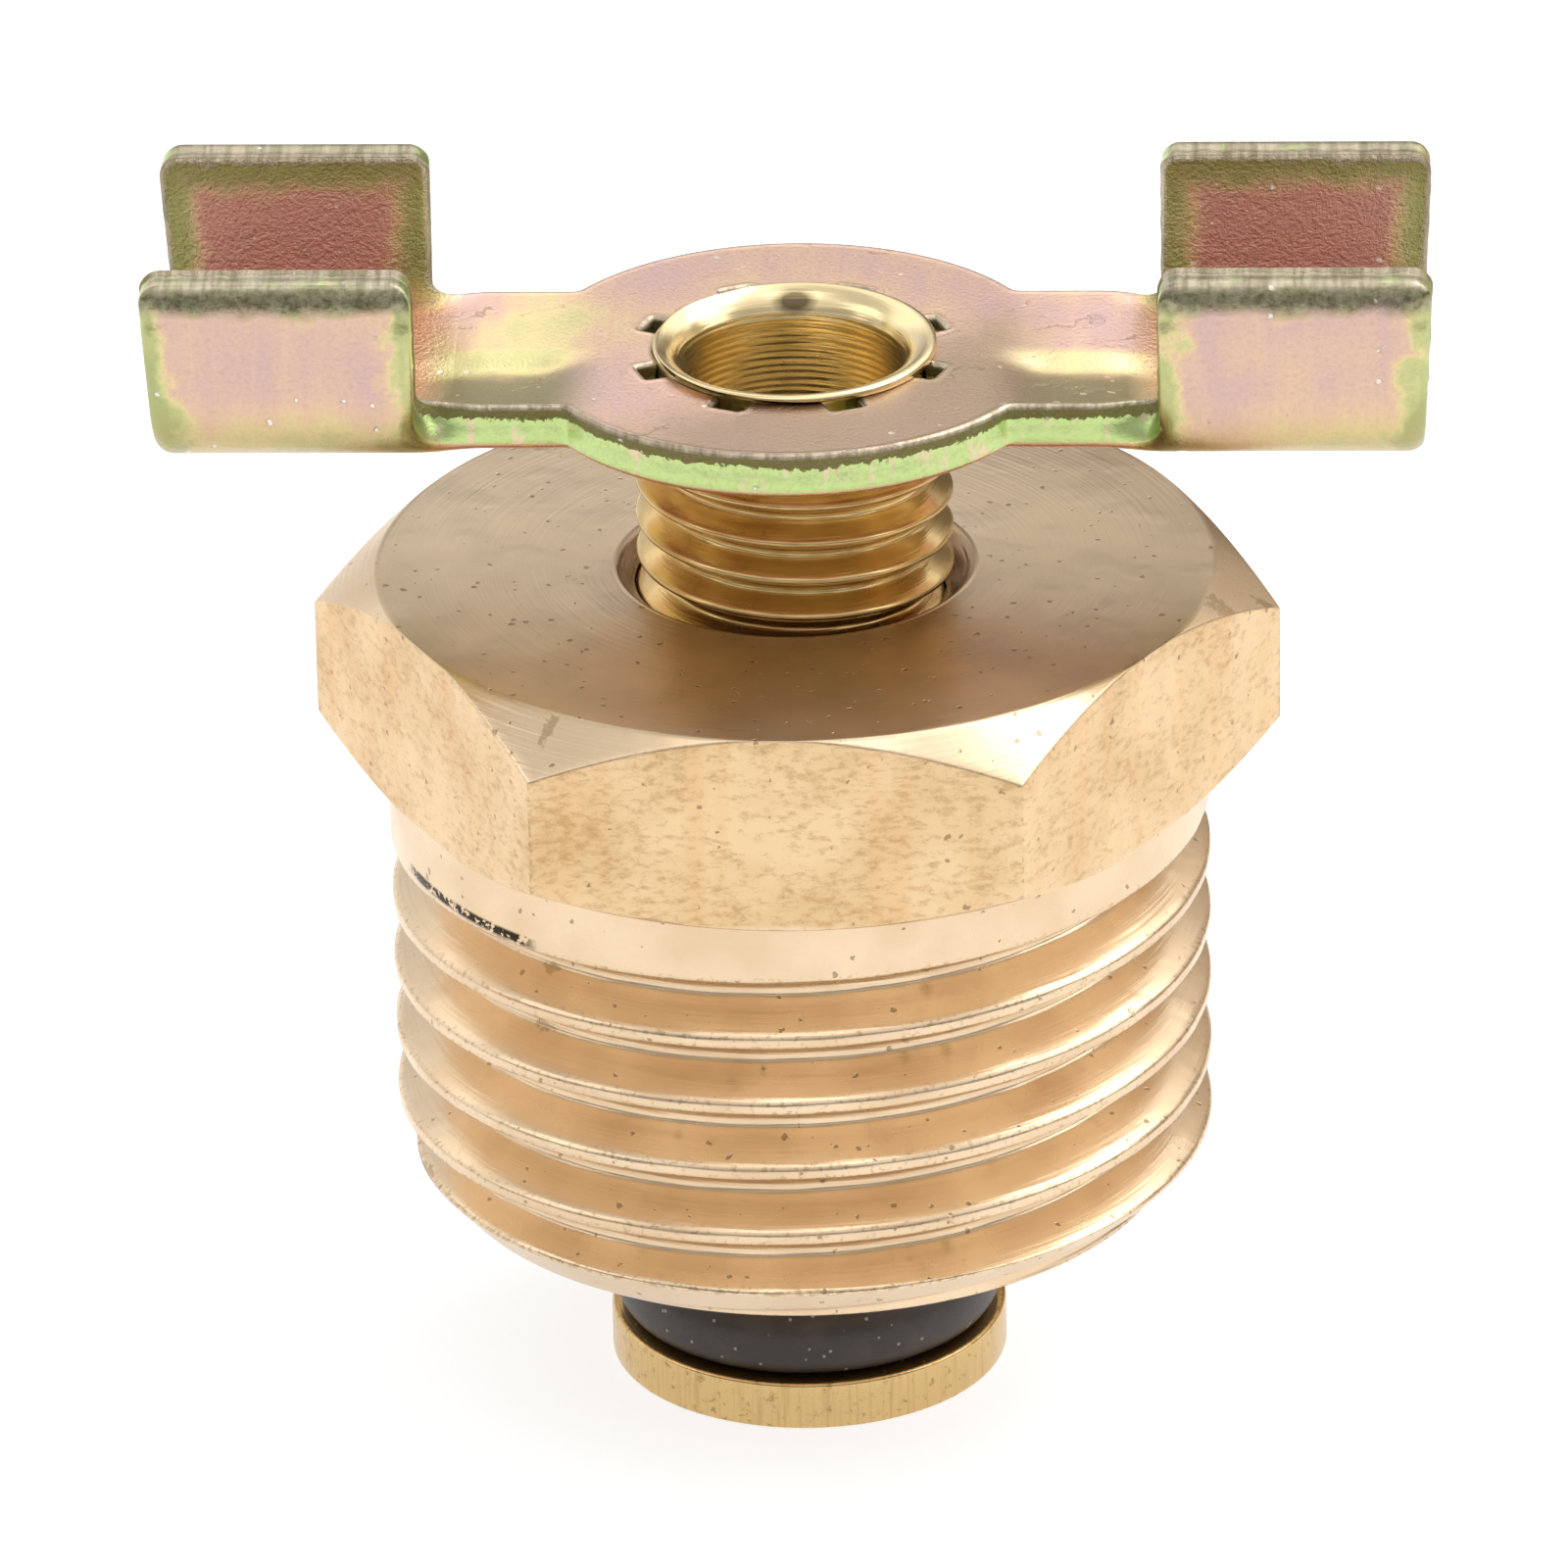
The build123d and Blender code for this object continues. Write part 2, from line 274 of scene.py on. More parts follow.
# %% The thread tree: how far a point lies from the groove
cut_thread = start_tree("cut_thread", ("Pitch", "Floor Radius", "Floor Half Width", "Flank Slope",
                                       "Groove Start", "Last Turn", "Hand", "Side", "Rounding", "Lowest"))
given = add_node(cut_thread, "NodeGroupInput").outputs
position = add_node(cut_thread, "GeometryNodeInputPosition")
x, y, z = add_node(cut_thread, "ShaderNodeSeparateXYZ", {0: position}).outputs
angle = add_node(cut_thread, "ShaderNodeMath", {0: y, 1: x}, operation="ARCTAN2")
turn = add_node(cut_thread, "ShaderNodeMath", {0: angle, 1: 2 * pi}, operation="DIVIDE")
turn = add_node(cut_thread, "ShaderNodeMath", {0: turn, 1: given["Hand"]}, operation="MULTIPLY")
radius = add_node(cut_thread, "ShaderNodeMath", {0: x, 1: x}, operation="MULTIPLY")
radius = add_node(cut_thread, "ShaderNodeMath", {0: y, 1: y, 2: radius}, operation="MULTIPLY_ADD")
radius = add_node(cut_thread, "ShaderNodeMath", {0: radius}, operation="SQRT")

climb = add_node(cut_thread, "ShaderNodeMath", {0: z, 1: given["Groove Start"]}, operation="SUBTRACT")
climb = add_node(cut_thread, "ShaderNodeMath", {0: climb, 1: given["Pitch"]}, operation="DIVIDE")
climb = add_node(cut_thread, "ShaderNodeMath", {0: climb, 1: turn}, operation="SUBTRACT")
groove = add_node(cut_thread, "ShaderNodeMath", {0: climb}, operation="ROUND")
off_groove = add_node(cut_thread, "ShaderNodeMath", {0: climb, 1: groove}, operation="SUBTRACT")
off_groove = add_node(cut_thread, "ShaderNodeMath", {0: off_groove}, operation="ABSOLUTE")
off_groove = add_node(cut_thread, "ShaderNodeMath", {0: off_groove, 1: given["Pitch"]}, operation="MULTIPLY")
print("groove so far:", len(cut_thread.nodes), "nodes")

# %% The thread tree: the groove's floor and flanks
straight_out = 1.2
past_end = add_node(cut_thread, "ShaderNodeMath", {0: groove, 1: turn}, operation="ADD")
past_end = add_node(cut_thread, "ShaderNodeMath", {0: past_end, 1: given["Last Turn"]}, operation="SUBTRACT")
past_end = add_node(cut_thread, "ShaderNodeMath", {0: past_end, 1: 2 * pi}, operation="MULTIPLY")
past_end = add_node(cut_thread, "ShaderNodeClamp", {0: past_end, 1: 0.0, 2: straight_out})
run_out = add_node(cut_thread, "ShaderNodeMath", {0: past_end}, operation="COSINE")
groove_floor = add_node(cut_thread, "ShaderNodeMath", {0: given["Floor Radius"], 1: run_out},
                        operation="DIVIDE")

flank = add_node(cut_thread, "ShaderNodeMath", {0: off_groove, 1: given["Floor Half Width"]},
                 operation="SUBTRACT")
flank = add_node(cut_thread, "ShaderNodeMath", {0: flank, 1: given["Flank Slope"]}, operation="DIVIDE")
flank = add_node(cut_thread, "ShaderNodeMath", {0: flank, 1: 0.0, 2: given["Rounding"]},
                 operation="SMOOTH_MAX")
flank = add_node(cut_thread, "ShaderNodeMath", {0: flank, 1: given["Side"]}, operation="MULTIPLY")
groove_radius = add_node(cut_thread, "ShaderNodeMath", {0: groove_floor, 1: flank}, operation="ADD")
print("floor and flanks:", len(cut_thread.nodes), "nodes")

# %% The thread tree: the blank's surface where the tool cut deeper
sided_groove = add_node(cut_thread, "ShaderNodeMath", {0: groove_radius, 1: given["Side"]},
                        operation="MULTIPLY")
sided_blank = add_node(cut_thread, "ShaderNodeMath", {0: radius, 1: given["Side"]}, operation="MULTIPLY")
deeper = add_node(cut_thread, "ShaderNodeMath", {0: sided_groove, 1: sided_blank, 2: given["Rounding"]},
                  operation="SMOOTH_MIN")
deeper = add_node(cut_thread, "ShaderNodeMath", {0: deeper, 1: given["Side"]}, operation="MULTIPLY")
ratio = add_node(cut_thread, "ShaderNodeMath", {0: deeper, 1: radius}, operation="DIVIDE")
new_x = add_node(cut_thread, "ShaderNodeMath", {0: x, 1: ratio}, operation="MULTIPLY")
new_y = add_node(cut_thread, "ShaderNodeMath", {0: y, 1: ratio}, operation="MULTIPLY")
new_place = add_node(cut_thread, "ShaderNodeCombineXYZ", {0: new_x, 1: new_y, 2: z})
reached = add_node(cut_thread, "FunctionNodeCompare", {0: z, 1: given["Lowest"]}, operation="GREATER_THAN")
off_axis = add_node(cut_thread, "FunctionNodeCompare", {0: radius, 1: 0.1 * mm}, operation="GREATER_THAN")
chosen = add_node(cut_thread, "FunctionNodeBooleanMath", {0: reached, 1: off_axis}, operation="AND")
moved = add_node(cut_thread, "GeometryNodeSetPosition",
                 {"Geometry": given["Geometry"], "Selection": chosen, "Position": new_place})
end_tree(cut_thread, moved, given["Material"])

# %% [markdown]
# ## The body's blank
# The body is cut from hexagon bar. Both ends of the hexagon are faced to a circle and chamfered by a cone,
# and where a cone meets a flat the edge is an arc. Each angle has its own pair of heights where flat and
# cones meet, and the rows follow them, so those arcs stay crisp. The columns crowd together at the six
# corners.

# %% Angles that crowd at the hexagon's corners
columns_per_flat = 54
crowding = 0.78
even = np.arange(6 * columns_per_flat) / (6 * columns_per_flat) * 2 * pi
body_angles = even - crowding / 6 * np.sin(6 * even) + hex_turn
from_flat = (body_angles - hex_turn) % (pi / 3) - pi / 6
hex_radius = hex_flat_radius / np.cos(from_flat)
print("hexagon", round(2 * hex_flat_radius, 2), "across flats,", round(2 * hex_radius.max(), 2),
      "across corners")

# %% The body's profile
top_land = 10.5
top_slope = tan(radians(36))
bottom_land = 10.45
bottom_slope = tan(radians(30))
seat_mouth = 5.2
chamber_radius = 4.3
nut_thread_base = hex_top - 8.6
nut_mouth = 4.45
shank_chamfer_width = 1.15
shank_chamfer_height = 1.3
tapped_depth = 3.4
close_rows_depth = tapped_depth + 0.1
arc_top = hex_top - (hex_radius - top_land) * top_slope
arc_bottom = hex_base + (hex_radius - bottom_land) * bottom_slope

# Each corner is a radius, a height, a rounding and the steps to the next corner.
body_corners = [
    (nut_mouth, hex_top, 0.08, 6),
    (top_land, hex_top, 0.1, 5),
    (hex_radius, arc_top, 0.07, 6),
    (hex_radius, arc_bottom, 0.07, 4),
    (bottom_land, hex_base, 0.05, 1),
    (shank_radius, hex_base, 0.05, 124),
    (shank_radius, body_base + shank_chamfer_height, 0.05, 16),
    (shank_radius - shank_chamfer_width, body_base, 0.12, 3),
    (seat_mouth, body_base, 0.08, 2),
    (chamber_radius, body_base + seat_mouth - chamber_radius, 0.08, 2),
    (chamber_radius, nut_thread_base, 0.05, 2),
    (nut_minor_radius, nut_thread_base + chamber_radius - nut_minor_radius, 0.05, 2),
    (nut_minor_radius, hex_top - close_rows_depth, 0.01, 34),
    (nut_minor_radius, hex_top - nut_mouth + nut_minor_radius, 0.04, 14),
]
body = spin_rows("body", profile_rows(body_corners, closed=True), body_angles, closed=True)
print("body blank:", len(body.data.polygons), "faces")

# %% [markdown]
# ## Turned and drawn brass
# The body is free-machining brass, cut from drawn hexagon bar. Clean brass has no film, so all of its
# colour is in its reflections, which makes it fully metallic. The flats keep the bar's drawn skin, with
# faint streaks along the bar, short marks across it and small pits. Every other face is turned, and carries
# the rings of the tool, which are drawn coarser than the real ones so that they show. The top has
# tarnished, the mouth of the thread is painted darker as painted shade, sharp edges are nicked, and some
# black grit sticks under the collar.

# %% Turned brass: where the drawn skin is left
turned_brass, tree, surface = start_material("turned_brass")
where = add_node(tree, "ShaderNodeTexCoord").outputs
x, y, z = add_node(tree, "ShaderNodeSeparateXYZ", {0: where["Object"]}).outputs
in_plan = add_node(tree, "ShaderNodeCombineXYZ", {0: x, 1: y})
radius = add_node(tree, "ShaderNodeVectorMath", {0: in_plan}, operation="LENGTH").outputs["Value"]
angle = add_node(tree, "ShaderNodeMath", {0: y, 1: x}, operation="ARCTAN2")
lean = add_node(tree, "ShaderNodeSeparateXYZ", {0: where["Normal"]}).outputs[2]
lean = add_node(tree, "ShaderNodeMath", {0: lean}, operation="ABSOLUTE")

on_bar = add_node(tree, "ShaderNodeMapRange", {0: z, 1: (hex_base + 0.1) * mm, 2: (hex_base + 0.2) * mm})
upright = add_node(tree, "ShaderNodeMapRange", {0: lean, 1: 0.25, 2: 0.5, 3: 1.0, 4: 0.0})
outside = add_node(tree, "ShaderNodeMapRange", {0: radius, 1: 9.5 * mm, 2: 9.6 * mm})
drawn = add_node(tree, "ShaderNodeMath", {0: on_bar, 1: upright}, operation="MULTIPLY")
drawn = add_node(tree, "ShaderNodeMath", {0: drawn, 1: outside}, operation="MULTIPLY")
on_top = add_node(tree, "ShaderNodeMapRange", {0: z, 1: (hex_top - 0.06) * mm, 2: (hex_top - 0.02) * mm})
in_mouth = add_node(tree, "ShaderNodeMapRange", {0: radius, 1: (nut_mouth + 0.05) * mm,
                                                 2: (nut_mouth + 0.15) * mm, 3: 8.0, 4: 0.0})
print("where the skin is:", len(tree.nodes), "nodes")

# %% Turned brass: the tool's rings
cloud_two = add_node(tree, "ShaderNodeTexNoise", {"Vector": where["Object"], "Scale": per_mm(1.7)})
arc = add_node(tree, "ShaderNodeMath", {0: angle, 1: 0.25 * mm}, operation="MULTIPLY")
ring_place = add_node(tree, "ShaderNodeCombineXYZ", {0: radius, 1: z, 2: arc})
rings = add_node(tree, "ShaderNodeTexNoise", {"Vector": ring_place, "Scale": per_mm(0.1), "Detail": 2.0})
coarse_rings = add_node(tree, "ShaderNodeTexNoise", {"Vector": ring_place, "Scale": per_mm(0.24)})
on_face = add_node(tree, "ShaderNodeMapRange", {0: cloud_two, 1: 0.5, 2: 0.66, 4: 1.6})
ring_depth = add_node(tree, "ShaderNodeMath", {0: in_mouth, 1: on_face}, operation="MAXIMUM")
rings = add_node(tree, "ShaderNodeMath", {0: coarse_rings, 1: ring_depth, 2: rings}, operation="MULTIPLY_ADD")
print("with rings:", len(tree.nodes), "nodes")

# %% Turned brass: streaks, short marks and pits of the drawn bar
bar_place = add_node(tree, "ShaderNodeMapping", {"Vector": where["Object"], "Scale": (1, 1, 0.05)})
streaks = add_node(tree, "ShaderNodeTexNoise", {"Vector": bar_place, "Scale": per_mm(0.7), "Detail": 5.0})
dash_place = add_node(tree, "ShaderNodeMapping", {"Vector": where["Object"], "Scale": (0.5, 0.5, 1)})
dashes = add_node(tree, "ShaderNodeTexNoise", {"Vector": dash_place, "Scale": per_mm(0.19), "Detail": 6.0,
                                               "Roughness": 0.75})
cloud = add_node(tree, "ShaderNodeTexNoise", {"Vector": where["Object"], "Scale": per_mm(2.6), "Detail": 5.0})
dash_floor = add_node(tree, "ShaderNodeMapRange", {0: cloud, 1: 0.3, 2: 0.7, 3: 0.54, 4: 0.45})
dash_depth = add_node(tree, "ShaderNodeMath", {0: dashes, 1: dash_floor}, operation="SUBTRACT")
dashes = add_node(tree, "ShaderNodeMapRange", {0: dash_depth, 1: 0.0, 2: 0.2})

ragged = add_node(tree, "ShaderNodeTexNoise", {"Vector": where["Object"], "Scale": per_mm(0.14)})
ragged_place = add_node(tree, "ShaderNodeVectorMath", {0: ragged.outputs["Color"], 1: (0.2 * mm,) * 3,
                                                       2: where["Object"]}, operation="MULTIPLY_ADD")
pits = add_node(tree, "ShaderNodeTexVoronoi", {"Vector": ragged_place, "Scale": per_mm(0.46)})
chosen = add_node(tree, "ShaderNodeSeparateColor", {0: pits.outputs["Color"]})
least_pit = add_node(tree, "ShaderNodeMath", {0: on_top, 1: 0.09}, operation="MULTIPLY")
pit_size = add_node(tree, "ShaderNodeMapRange", {0: chosen, 1: 0.25, 2: 1.0, 3: least_pit, 4: 0.2})
pits = add_node(tree, "ShaderNodeMath", {0: pit_size, 1: pits.outputs["Distance"]}, operation="SUBTRACT")
pits = add_node(tree, "ShaderNodeMapRange", {0: pits, 1: 0.0, 2: 0.05})
print("with streaks, marks and pits:", len(tree.nodes), "nodes")

# %% Turned brass: nicked edges and grit
pointed = add_node(tree, "ShaderNodeNewGeometry").outputs["Pointiness"]
nicks = add_node(tree, "ShaderNodeMapRange", {0: ragged, 1: 0.35, 2: 0.65, 3: 0.06, 4: -0.04})
nicks = add_node(tree, "ShaderNodeMath", {0: pointed, 1: nicks}, operation="ADD")
nicks = add_node(tree, "ShaderNodeMapRange", {0: nicks, 1: 0.56, 2: 0.6, 4: 0.6})

grit_ring = hex_base - 1.48
grit_angle = -2.54
grit = add_node(tree, "ShaderNodeTexNoise", {"Vector": where["Object"], "Scale": per_mm(0.26), "Detail": 4.0,
                                             "Roughness": 0.7})
grit = add_node(tree, "ShaderNodeMapRange", {0: grit, 1: 0.45, 2: 0.47})
off_ring = add_node(tree, "ShaderNodeMath", {0: z, 1: grit_ring * mm}, operation="SUBTRACT")
off_ring = add_node(tree, "ShaderNodeMath", {0: off_ring}, operation="ABSOLUTE")
off_ring = add_node(tree, "ShaderNodeMapRange", {0: off_ring, 1: 0.09 * mm, 2: 0.16 * mm, 3: 1.0, 4: 0.0})
off_angle = add_node(tree, "ShaderNodeMath", {0: angle, 1: -grit_angle}, operation="ADD")
off_angle = add_node(tree, "ShaderNodeMath", {0: off_angle}, operation="ABSOLUTE")
off_angle = add_node(tree, "ShaderNodeMapRange", {0: off_angle, 1: 0.24, 2: 0.28, 3: 1.0, 4: 0.0})
grit = add_node(tree, "ShaderNodeMath", {0: grit, 1: off_ring}, operation="MULTIPLY")
grit = add_node(tree, "ShaderNodeMath", {0: grit, 1: off_angle}, operation="MULTIPLY")
print("with nicks and grit:", len(tree.nodes), "nodes")

# %% Turned brass: its colours, laid one over another
cloud = add_node(tree, "ShaderNodeMapRange", {0: cloud, 1: 0.4, 2: 0.7})
cut_colour = add_node(tree, "ShaderNodeMix", {0: cloud, 6: linear("#E6CDAC"), 7: linear("#DBBF9C")},
                      data_type="RGBA").outputs[2]
skin_colour = add_node(tree, "ShaderNodeMix", {0: cloud, 6: linear("#E5C79C"), 7: linear("#DAB98A")},
                       data_type="RGBA").outputs[2]
streak_share = add_node(tree, "ShaderNodeMapRange", {0: streaks, 1: 0.5, 2: 0.72, 4: 0.45})
streak_share = add_node(tree, "ShaderNodeMath", {0: streak_share, 1: drawn}, operation="MULTIPLY")
dash_share = add_node(tree, "ShaderNodeMath", {0: dashes, 1: drawn}, operation="MULTIPLY")
dash_share = add_node(tree, "ShaderNodeMath", {0: dash_share, 1: 0.75}, operation="MULTIPLY")
tarnish = add_node(tree, "ShaderNodeMapRange", {0: cloud_two, 1: 0.35, 2: 0.65, 3: 0.55, 4: 1.0})
tarnish = add_node(tree, "ShaderNodeMath", {0: tarnish, 1: on_top}, operation="MULTIPLY")
# The mouth of the tapped hole is painted darker: painted shade in the recess.
mouth_painted_shade = add_node(tree, "ShaderNodeMath", {0: in_mouth, 1: 0.07}, operation="MULTIPLY")
pit_share = add_node(tree, "ShaderNodeMath", {0: pits, 1: 0.6}, operation="MULTIPLY")

colour = cut_colour
for share, tint in (
    (drawn, skin_colour),
    (streak_share, linear("#E0AF7A")),
    (dash_share, linear("#B98F5E")),
    (tarnish, linear("#CCB89C")),
    (mouth_painted_shade, linear("#8A6C48")),
    (pit_share, linear("#7A5C3C")),
    (nicks, linear("#A98E68")),
    (grit, linear("#33281B")),
):
    colour = add_node(tree, "ShaderNodeMix", {0: share, 6: colour, 7: tint}, data_type="RGBA").outputs[2]
tree.links.new(colour, surface.inputs["Base Color"])
print("with colours:", len(tree.nodes), "nodes")

# %% Turned brass: gloss and relief
surface.inputs["Metallic"].default_value = 1.0
rough = add_node(tree, "ShaderNodeMapRange", {0: drawn, 3: 0.26, 4: 0.34})
rough = add_node(tree, "ShaderNodeMath", {0: cloud, 1: 0.06, 2: rough}, operation="MULTIPLY_ADD")
rough = add_node(tree, "ShaderNodeMath", {0: on_top, 1: 0.06, 2: rough}, operation="MULTIPLY_ADD")
tree.links.new(rough.outputs[0], surface.inputs["Roughness"])
skin_height = add_node(tree, "ShaderNodeMath", {0: dashes, 1: -0.6, 2: streaks}, operation="MULTIPLY_ADD")
height = add_node(tree, "ShaderNodeMix", {0: drawn, 2: rings, 3: skin_height}).outputs[0]
height = add_node(tree, "ShaderNodeMath", {0: pits, 1: -1.5, 2: height}, operation="MULTIPLY_ADD")
height = add_node(tree, "ShaderNodeMath", {0: grit, 1: 3.0, 2: height}, operation="MULTIPLY_ADD")
relief = add_node(tree, "ShaderNodeBump", {"Height": height, "Distance": 0.007 * mm})
tree.links.new(relief.outputs[0], surface.inputs["Normal"])
print("turned brass:", len(tree.nodes), "nodes")

# %% [markdown]
# ## The pipe thread
# The shank's thread is G 1/2, 14 threads to the inch. It is cut from the bottom up and runs out into the
# plain collar under the hexagon.

# %% Cut the pipe thread
pipe_pitch = 25.4 / 14
pipe_depth = 1.16
pipe_crest = 0.3
pipe_flank = tan(radians(27.5))
pipe_groove_start = hex_base - 1.47
pipe_end_turn = 60 / 360
apply_tree(body, cut_thread, {
    "Pitch": pipe_pitch * mm,
    "Floor Radius": (shank_radius - pipe_depth) * mm,
    "Floor Half Width": ((pipe_pitch - pipe_crest) / 2 - pipe_depth * pipe_flank) * mm,
    "Flank Slope": pipe_flank,
    "Groove Start": (pipe_groove_start - pipe_end_turn * pipe_pitch) * mm,
    "Last Turn": pipe_end_turn,
    "Hand": 1.0,
    "Side": 1.0,
    "Rounding": 0.12 * mm,
    "Lowest": body_base * mm,
    "Material": turned_brass,
})
print("body with its pipe thread:", triangle_count(body), "triangles")

# %% [markdown]
# ## The tapped hole
# The stem's thread is M8 with a pitch of 1 mm and is left-handed. The same tree cuts its counterpart inside
# the body, with its side turned round, so that it pushes points out instead of in. This thread has no last
# turn.

# %% Tap the body
stem_pitch = 1.0
stem_crest = 0.125
stem_flank = tan(radians(30))
stem_thread_depth = stem_thread_radius - stem_thread_root
stem_thread_length = 13.0
stem_run_in = 1.3
stem_groove_start = shoulder - stem_thread_length - stem_run_in
stem_thread_turn = 72.4 / 360
endless = 1000.0
apply_tree(body, cut_thread, {
    "Pitch": stem_pitch * mm,
    "Floor Radius": (stem_thread_radius + thread_play) * mm,
    "Floor Half Width": (stem_crest / 2 + thread_play) * mm,
    "Flank Slope": stem_flank,
    "Groove Start": (stem_groove_start + stem_thread_turn * stem_pitch + stem_pitch / 2) * mm,
    "Last Turn": endless,
    "Hand": -1.0,
    "Side": -1.0,
    "Rounding": 0.05 * mm,
    "Lowest": (hex_top - tapped_depth) * mm,
    "Material": turned_brass,
})
print("body:", triangle_count(body), "triangles")

# %% [markdown]
# ## The stem
# The stem is turned from round bar: a flange at the foot for the ring, a neck, the fine thread, and a thin
# tail. The tail passes through the handle and is swaged over it, which flares the mouth of the bore and
# leaves a burnished rolled lip, which also gets a painted highlight.

# %% The stem's profile
flange_radius = 5.05
flange_thickness = 1.29
neck_radius = 2.85
thread_base = shoulder - stem_thread_length
tail_radius = 3.42
lip_radius = 3.62
bore_radius = 2.8
bore_bottom = lip_top - 4.1
drain_radius = 1.75
cross_hole_height = 6.2
stem_columns = 216
stem_angles = np.arange(stem_columns) / stem_columns * 2 * pi

# Each corner is a radius, a height, a rounding and the steps to the next corner.
stem_corners = [
    (0.0, cross_hole_height, 0.0, 2),
    (drain_radius, cross_hole_height, 0.05, 4),
    (drain_radius, bore_bottom, 0.05, 2),
    (bore_radius, bore_bottom, 0.05, 8),
    (bore_radius, lip_top - 0.62, 0.2, 3),
    (bore_radius + 0.2, lip_top - 0.22, 0.25, 3),
    (lip_radius - 0.24, lip_top, 0.2, 1),
    (lip_radius, lip_top - 0.02, 0.13, 1),
    (lip_radius, sheet_top + 0.01, 0.04, 1),
    (tail_radius, sheet_top + 0.01, 0.03, 2),
    (tail_radius, shoulder, 0.03, 2),
    (stem_thread_radius, shoulder, 0.03, 210),
    (stem_thread_radius, thread_base + stem_thread_radius - neck_radius, 0.05, 14),
    (neck_radius, thread_base, 0.1, 8),
    (neck_radius, flange_thickness, 0.1, 3),
    (flange_radius, flange_thickness, 0.12, 3),
    (flange_radius, 0.0, 0.12, 4),
    (0.0, 0.0, 0.0, 1),
]
spindle = spin_rows("spindle", profile_rows(stem_corners, closed=False), stem_angles, closed=False)
print("stem blank:", len(spindle.data.polygons), "faces")

# %% [markdown]
# ## Golden brass
# The stem is a richer, more golden brass than the body. It is turned all over, and the tool's marks, again
# drawn coarser than the real ones, show best in the bore, which is painted paler, a painted light. The swaged
# lip is burnished by the tool that rolled it, and the lip and its flare are painted paler still, a painted
# highlight, with one dirty spot on the flare. The flange's rim carries fine upright scores and dark specks.

# %% Golden brass: rings, scores and the regions of the stem
golden_brass, tree, surface = start_material("golden_brass")
where = add_node(tree, "ShaderNodeTexCoord").outputs
x, y, z = add_node(tree, "ShaderNodeSeparateXYZ", {0: where["Object"]}).outputs
in_plan = add_node(tree, "ShaderNodeCombineXYZ", {0: x, 1: y})
radius = add_node(tree, "ShaderNodeVectorMath", {0: in_plan}, operation="LENGTH").outputs["Value"]
angle = add_node(tree, "ShaderNodeMath", {0: y, 1: x}, operation="ARCTAN2")
arc = add_node(tree, "ShaderNodeMath", {0: angle, 1: 0.2 * mm}, operation="MULTIPLY")
ring_place = add_node(tree, "ShaderNodeCombineXYZ", {0: radius, 1: z, 2: arc})
rings = add_node(tree, "ShaderNodeTexNoise", {"Vector": ring_place, "Scale": per_mm(0.12), "Detail": 2.0})
score_place = add_node(tree, "ShaderNodeMapping", {"Vector": where["Object"], "Scale": (1, 1, 0.05)})
scores = add_node(tree, "ShaderNodeTexNoise", {"Vector": score_place, "Scale": per_mm(0.12), "Detail": 2.0})
cloud = add_node(tree, "ShaderNodeTexNoise", {"Vector": where["Object"], "Scale": per_mm(1.4), "Detail": 4.0})
cloud = add_node(tree, "ShaderNodeMapRange", {0: cloud, 1: 0.4, 2: 0.7})
on_rim = add_node(tree, "ShaderNodeMapRange", {0: radius, 1: (flange_radius - 0.2) * mm,
                                               2: (flange_radius - 0.1) * mm})
in_bore = add_node(tree, "ShaderNodeMapRange", {0: radius, 1: (bore_radius + 0.02) * mm,
                                                2: (bore_radius + 0.1) * mm, 3: 1.0, 4: 0.0})
# The lip and its flare are painted paler: a burnished lip, with a painted highlight on it and on the flare.
on_lip = add_node(tree, "ShaderNodeMapRange", {0: z, 1: (sheet_top - 0.9) * mm, 2: sheet_top * mm, 4: 0.8})
print("regions of the stem:", len(tree.nodes), "nodes")

# %% Golden brass: dirt, specks and colours
dirt_spot = (0.06 * mm, 3.02 * mm, (lip_top - 0.3) * mm)
dirt_place = add_node(tree, "ShaderNodeMapping", {"Vector": where["Object"], "Scale": (0.6, 1, 1)})
dirt = add_node(tree, "ShaderNodeVectorMath", {0: dirt_place, 1: dirt_spot}, operation="DISTANCE")
dirt = add_node(tree, "ShaderNodeMath", {0: cloud, 1: 0.12 * mm, 2: dirt.outputs["Value"]},
                operation="MULTIPLY_ADD")
dirt = add_node(tree, "ShaderNodeMapRange", {0: dirt, 1: 0.2 * mm, 2: 0.42 * mm, 3: 0.85, 4: 0.0})
specks = add_node(tree, "ShaderNodeTexNoise", {"Vector": where["Object"], "Scale": per_mm(0.3), "Detail": 5.0,
                                               "Roughness": 0.75})
specks = add_node(tree, "ShaderNodeMapRange", {0: specks, 1: 0.56, 2: 0.68, 4: 0.8})
rim_marks = add_node(tree, "ShaderNodeMapRange", {0: scores, 1: 0.5, 2: 0.75, 4: 0.3})
rim_marks = add_node(tree, "ShaderNodeMath", {0: rim_marks, 1: specks}, operation="MAXIMUM")
rim_marks = add_node(tree, "ShaderNodeMath", {0: rim_marks, 1: on_rim}, operation="MULTIPLY")

# Inside the bore the brass is painted paler so that the bore reads brighter: painted light.
colour = linear("#D4B982")
for share, tint in ((cloud, "#C09D66"), (in_bore, "#EDDBB0"), (on_rim, "#D9B981"), (on_lip, "#EEDCAF"),
                    (dirt, "#3E301C"), (rim_marks, "#8F6E3E")):
    colour = add_node(tree, "ShaderNodeMix", {0: share, 6: colour, 7: linear(tint)},
                      data_type="RGBA").outputs[2]
tree.links.new(colour, surface.inputs["Base Color"])
print("with colours:", len(tree.nodes), "nodes")

# %% Golden brass: gloss and relief
surface.inputs["Metallic"].default_value = 1.0
rough = add_node(tree, "ShaderNodeMapRange", {0: cloud, 3: 0.2, 4: 0.3})
tree.links.new(rough.outputs[0], surface.inputs["Roughness"])
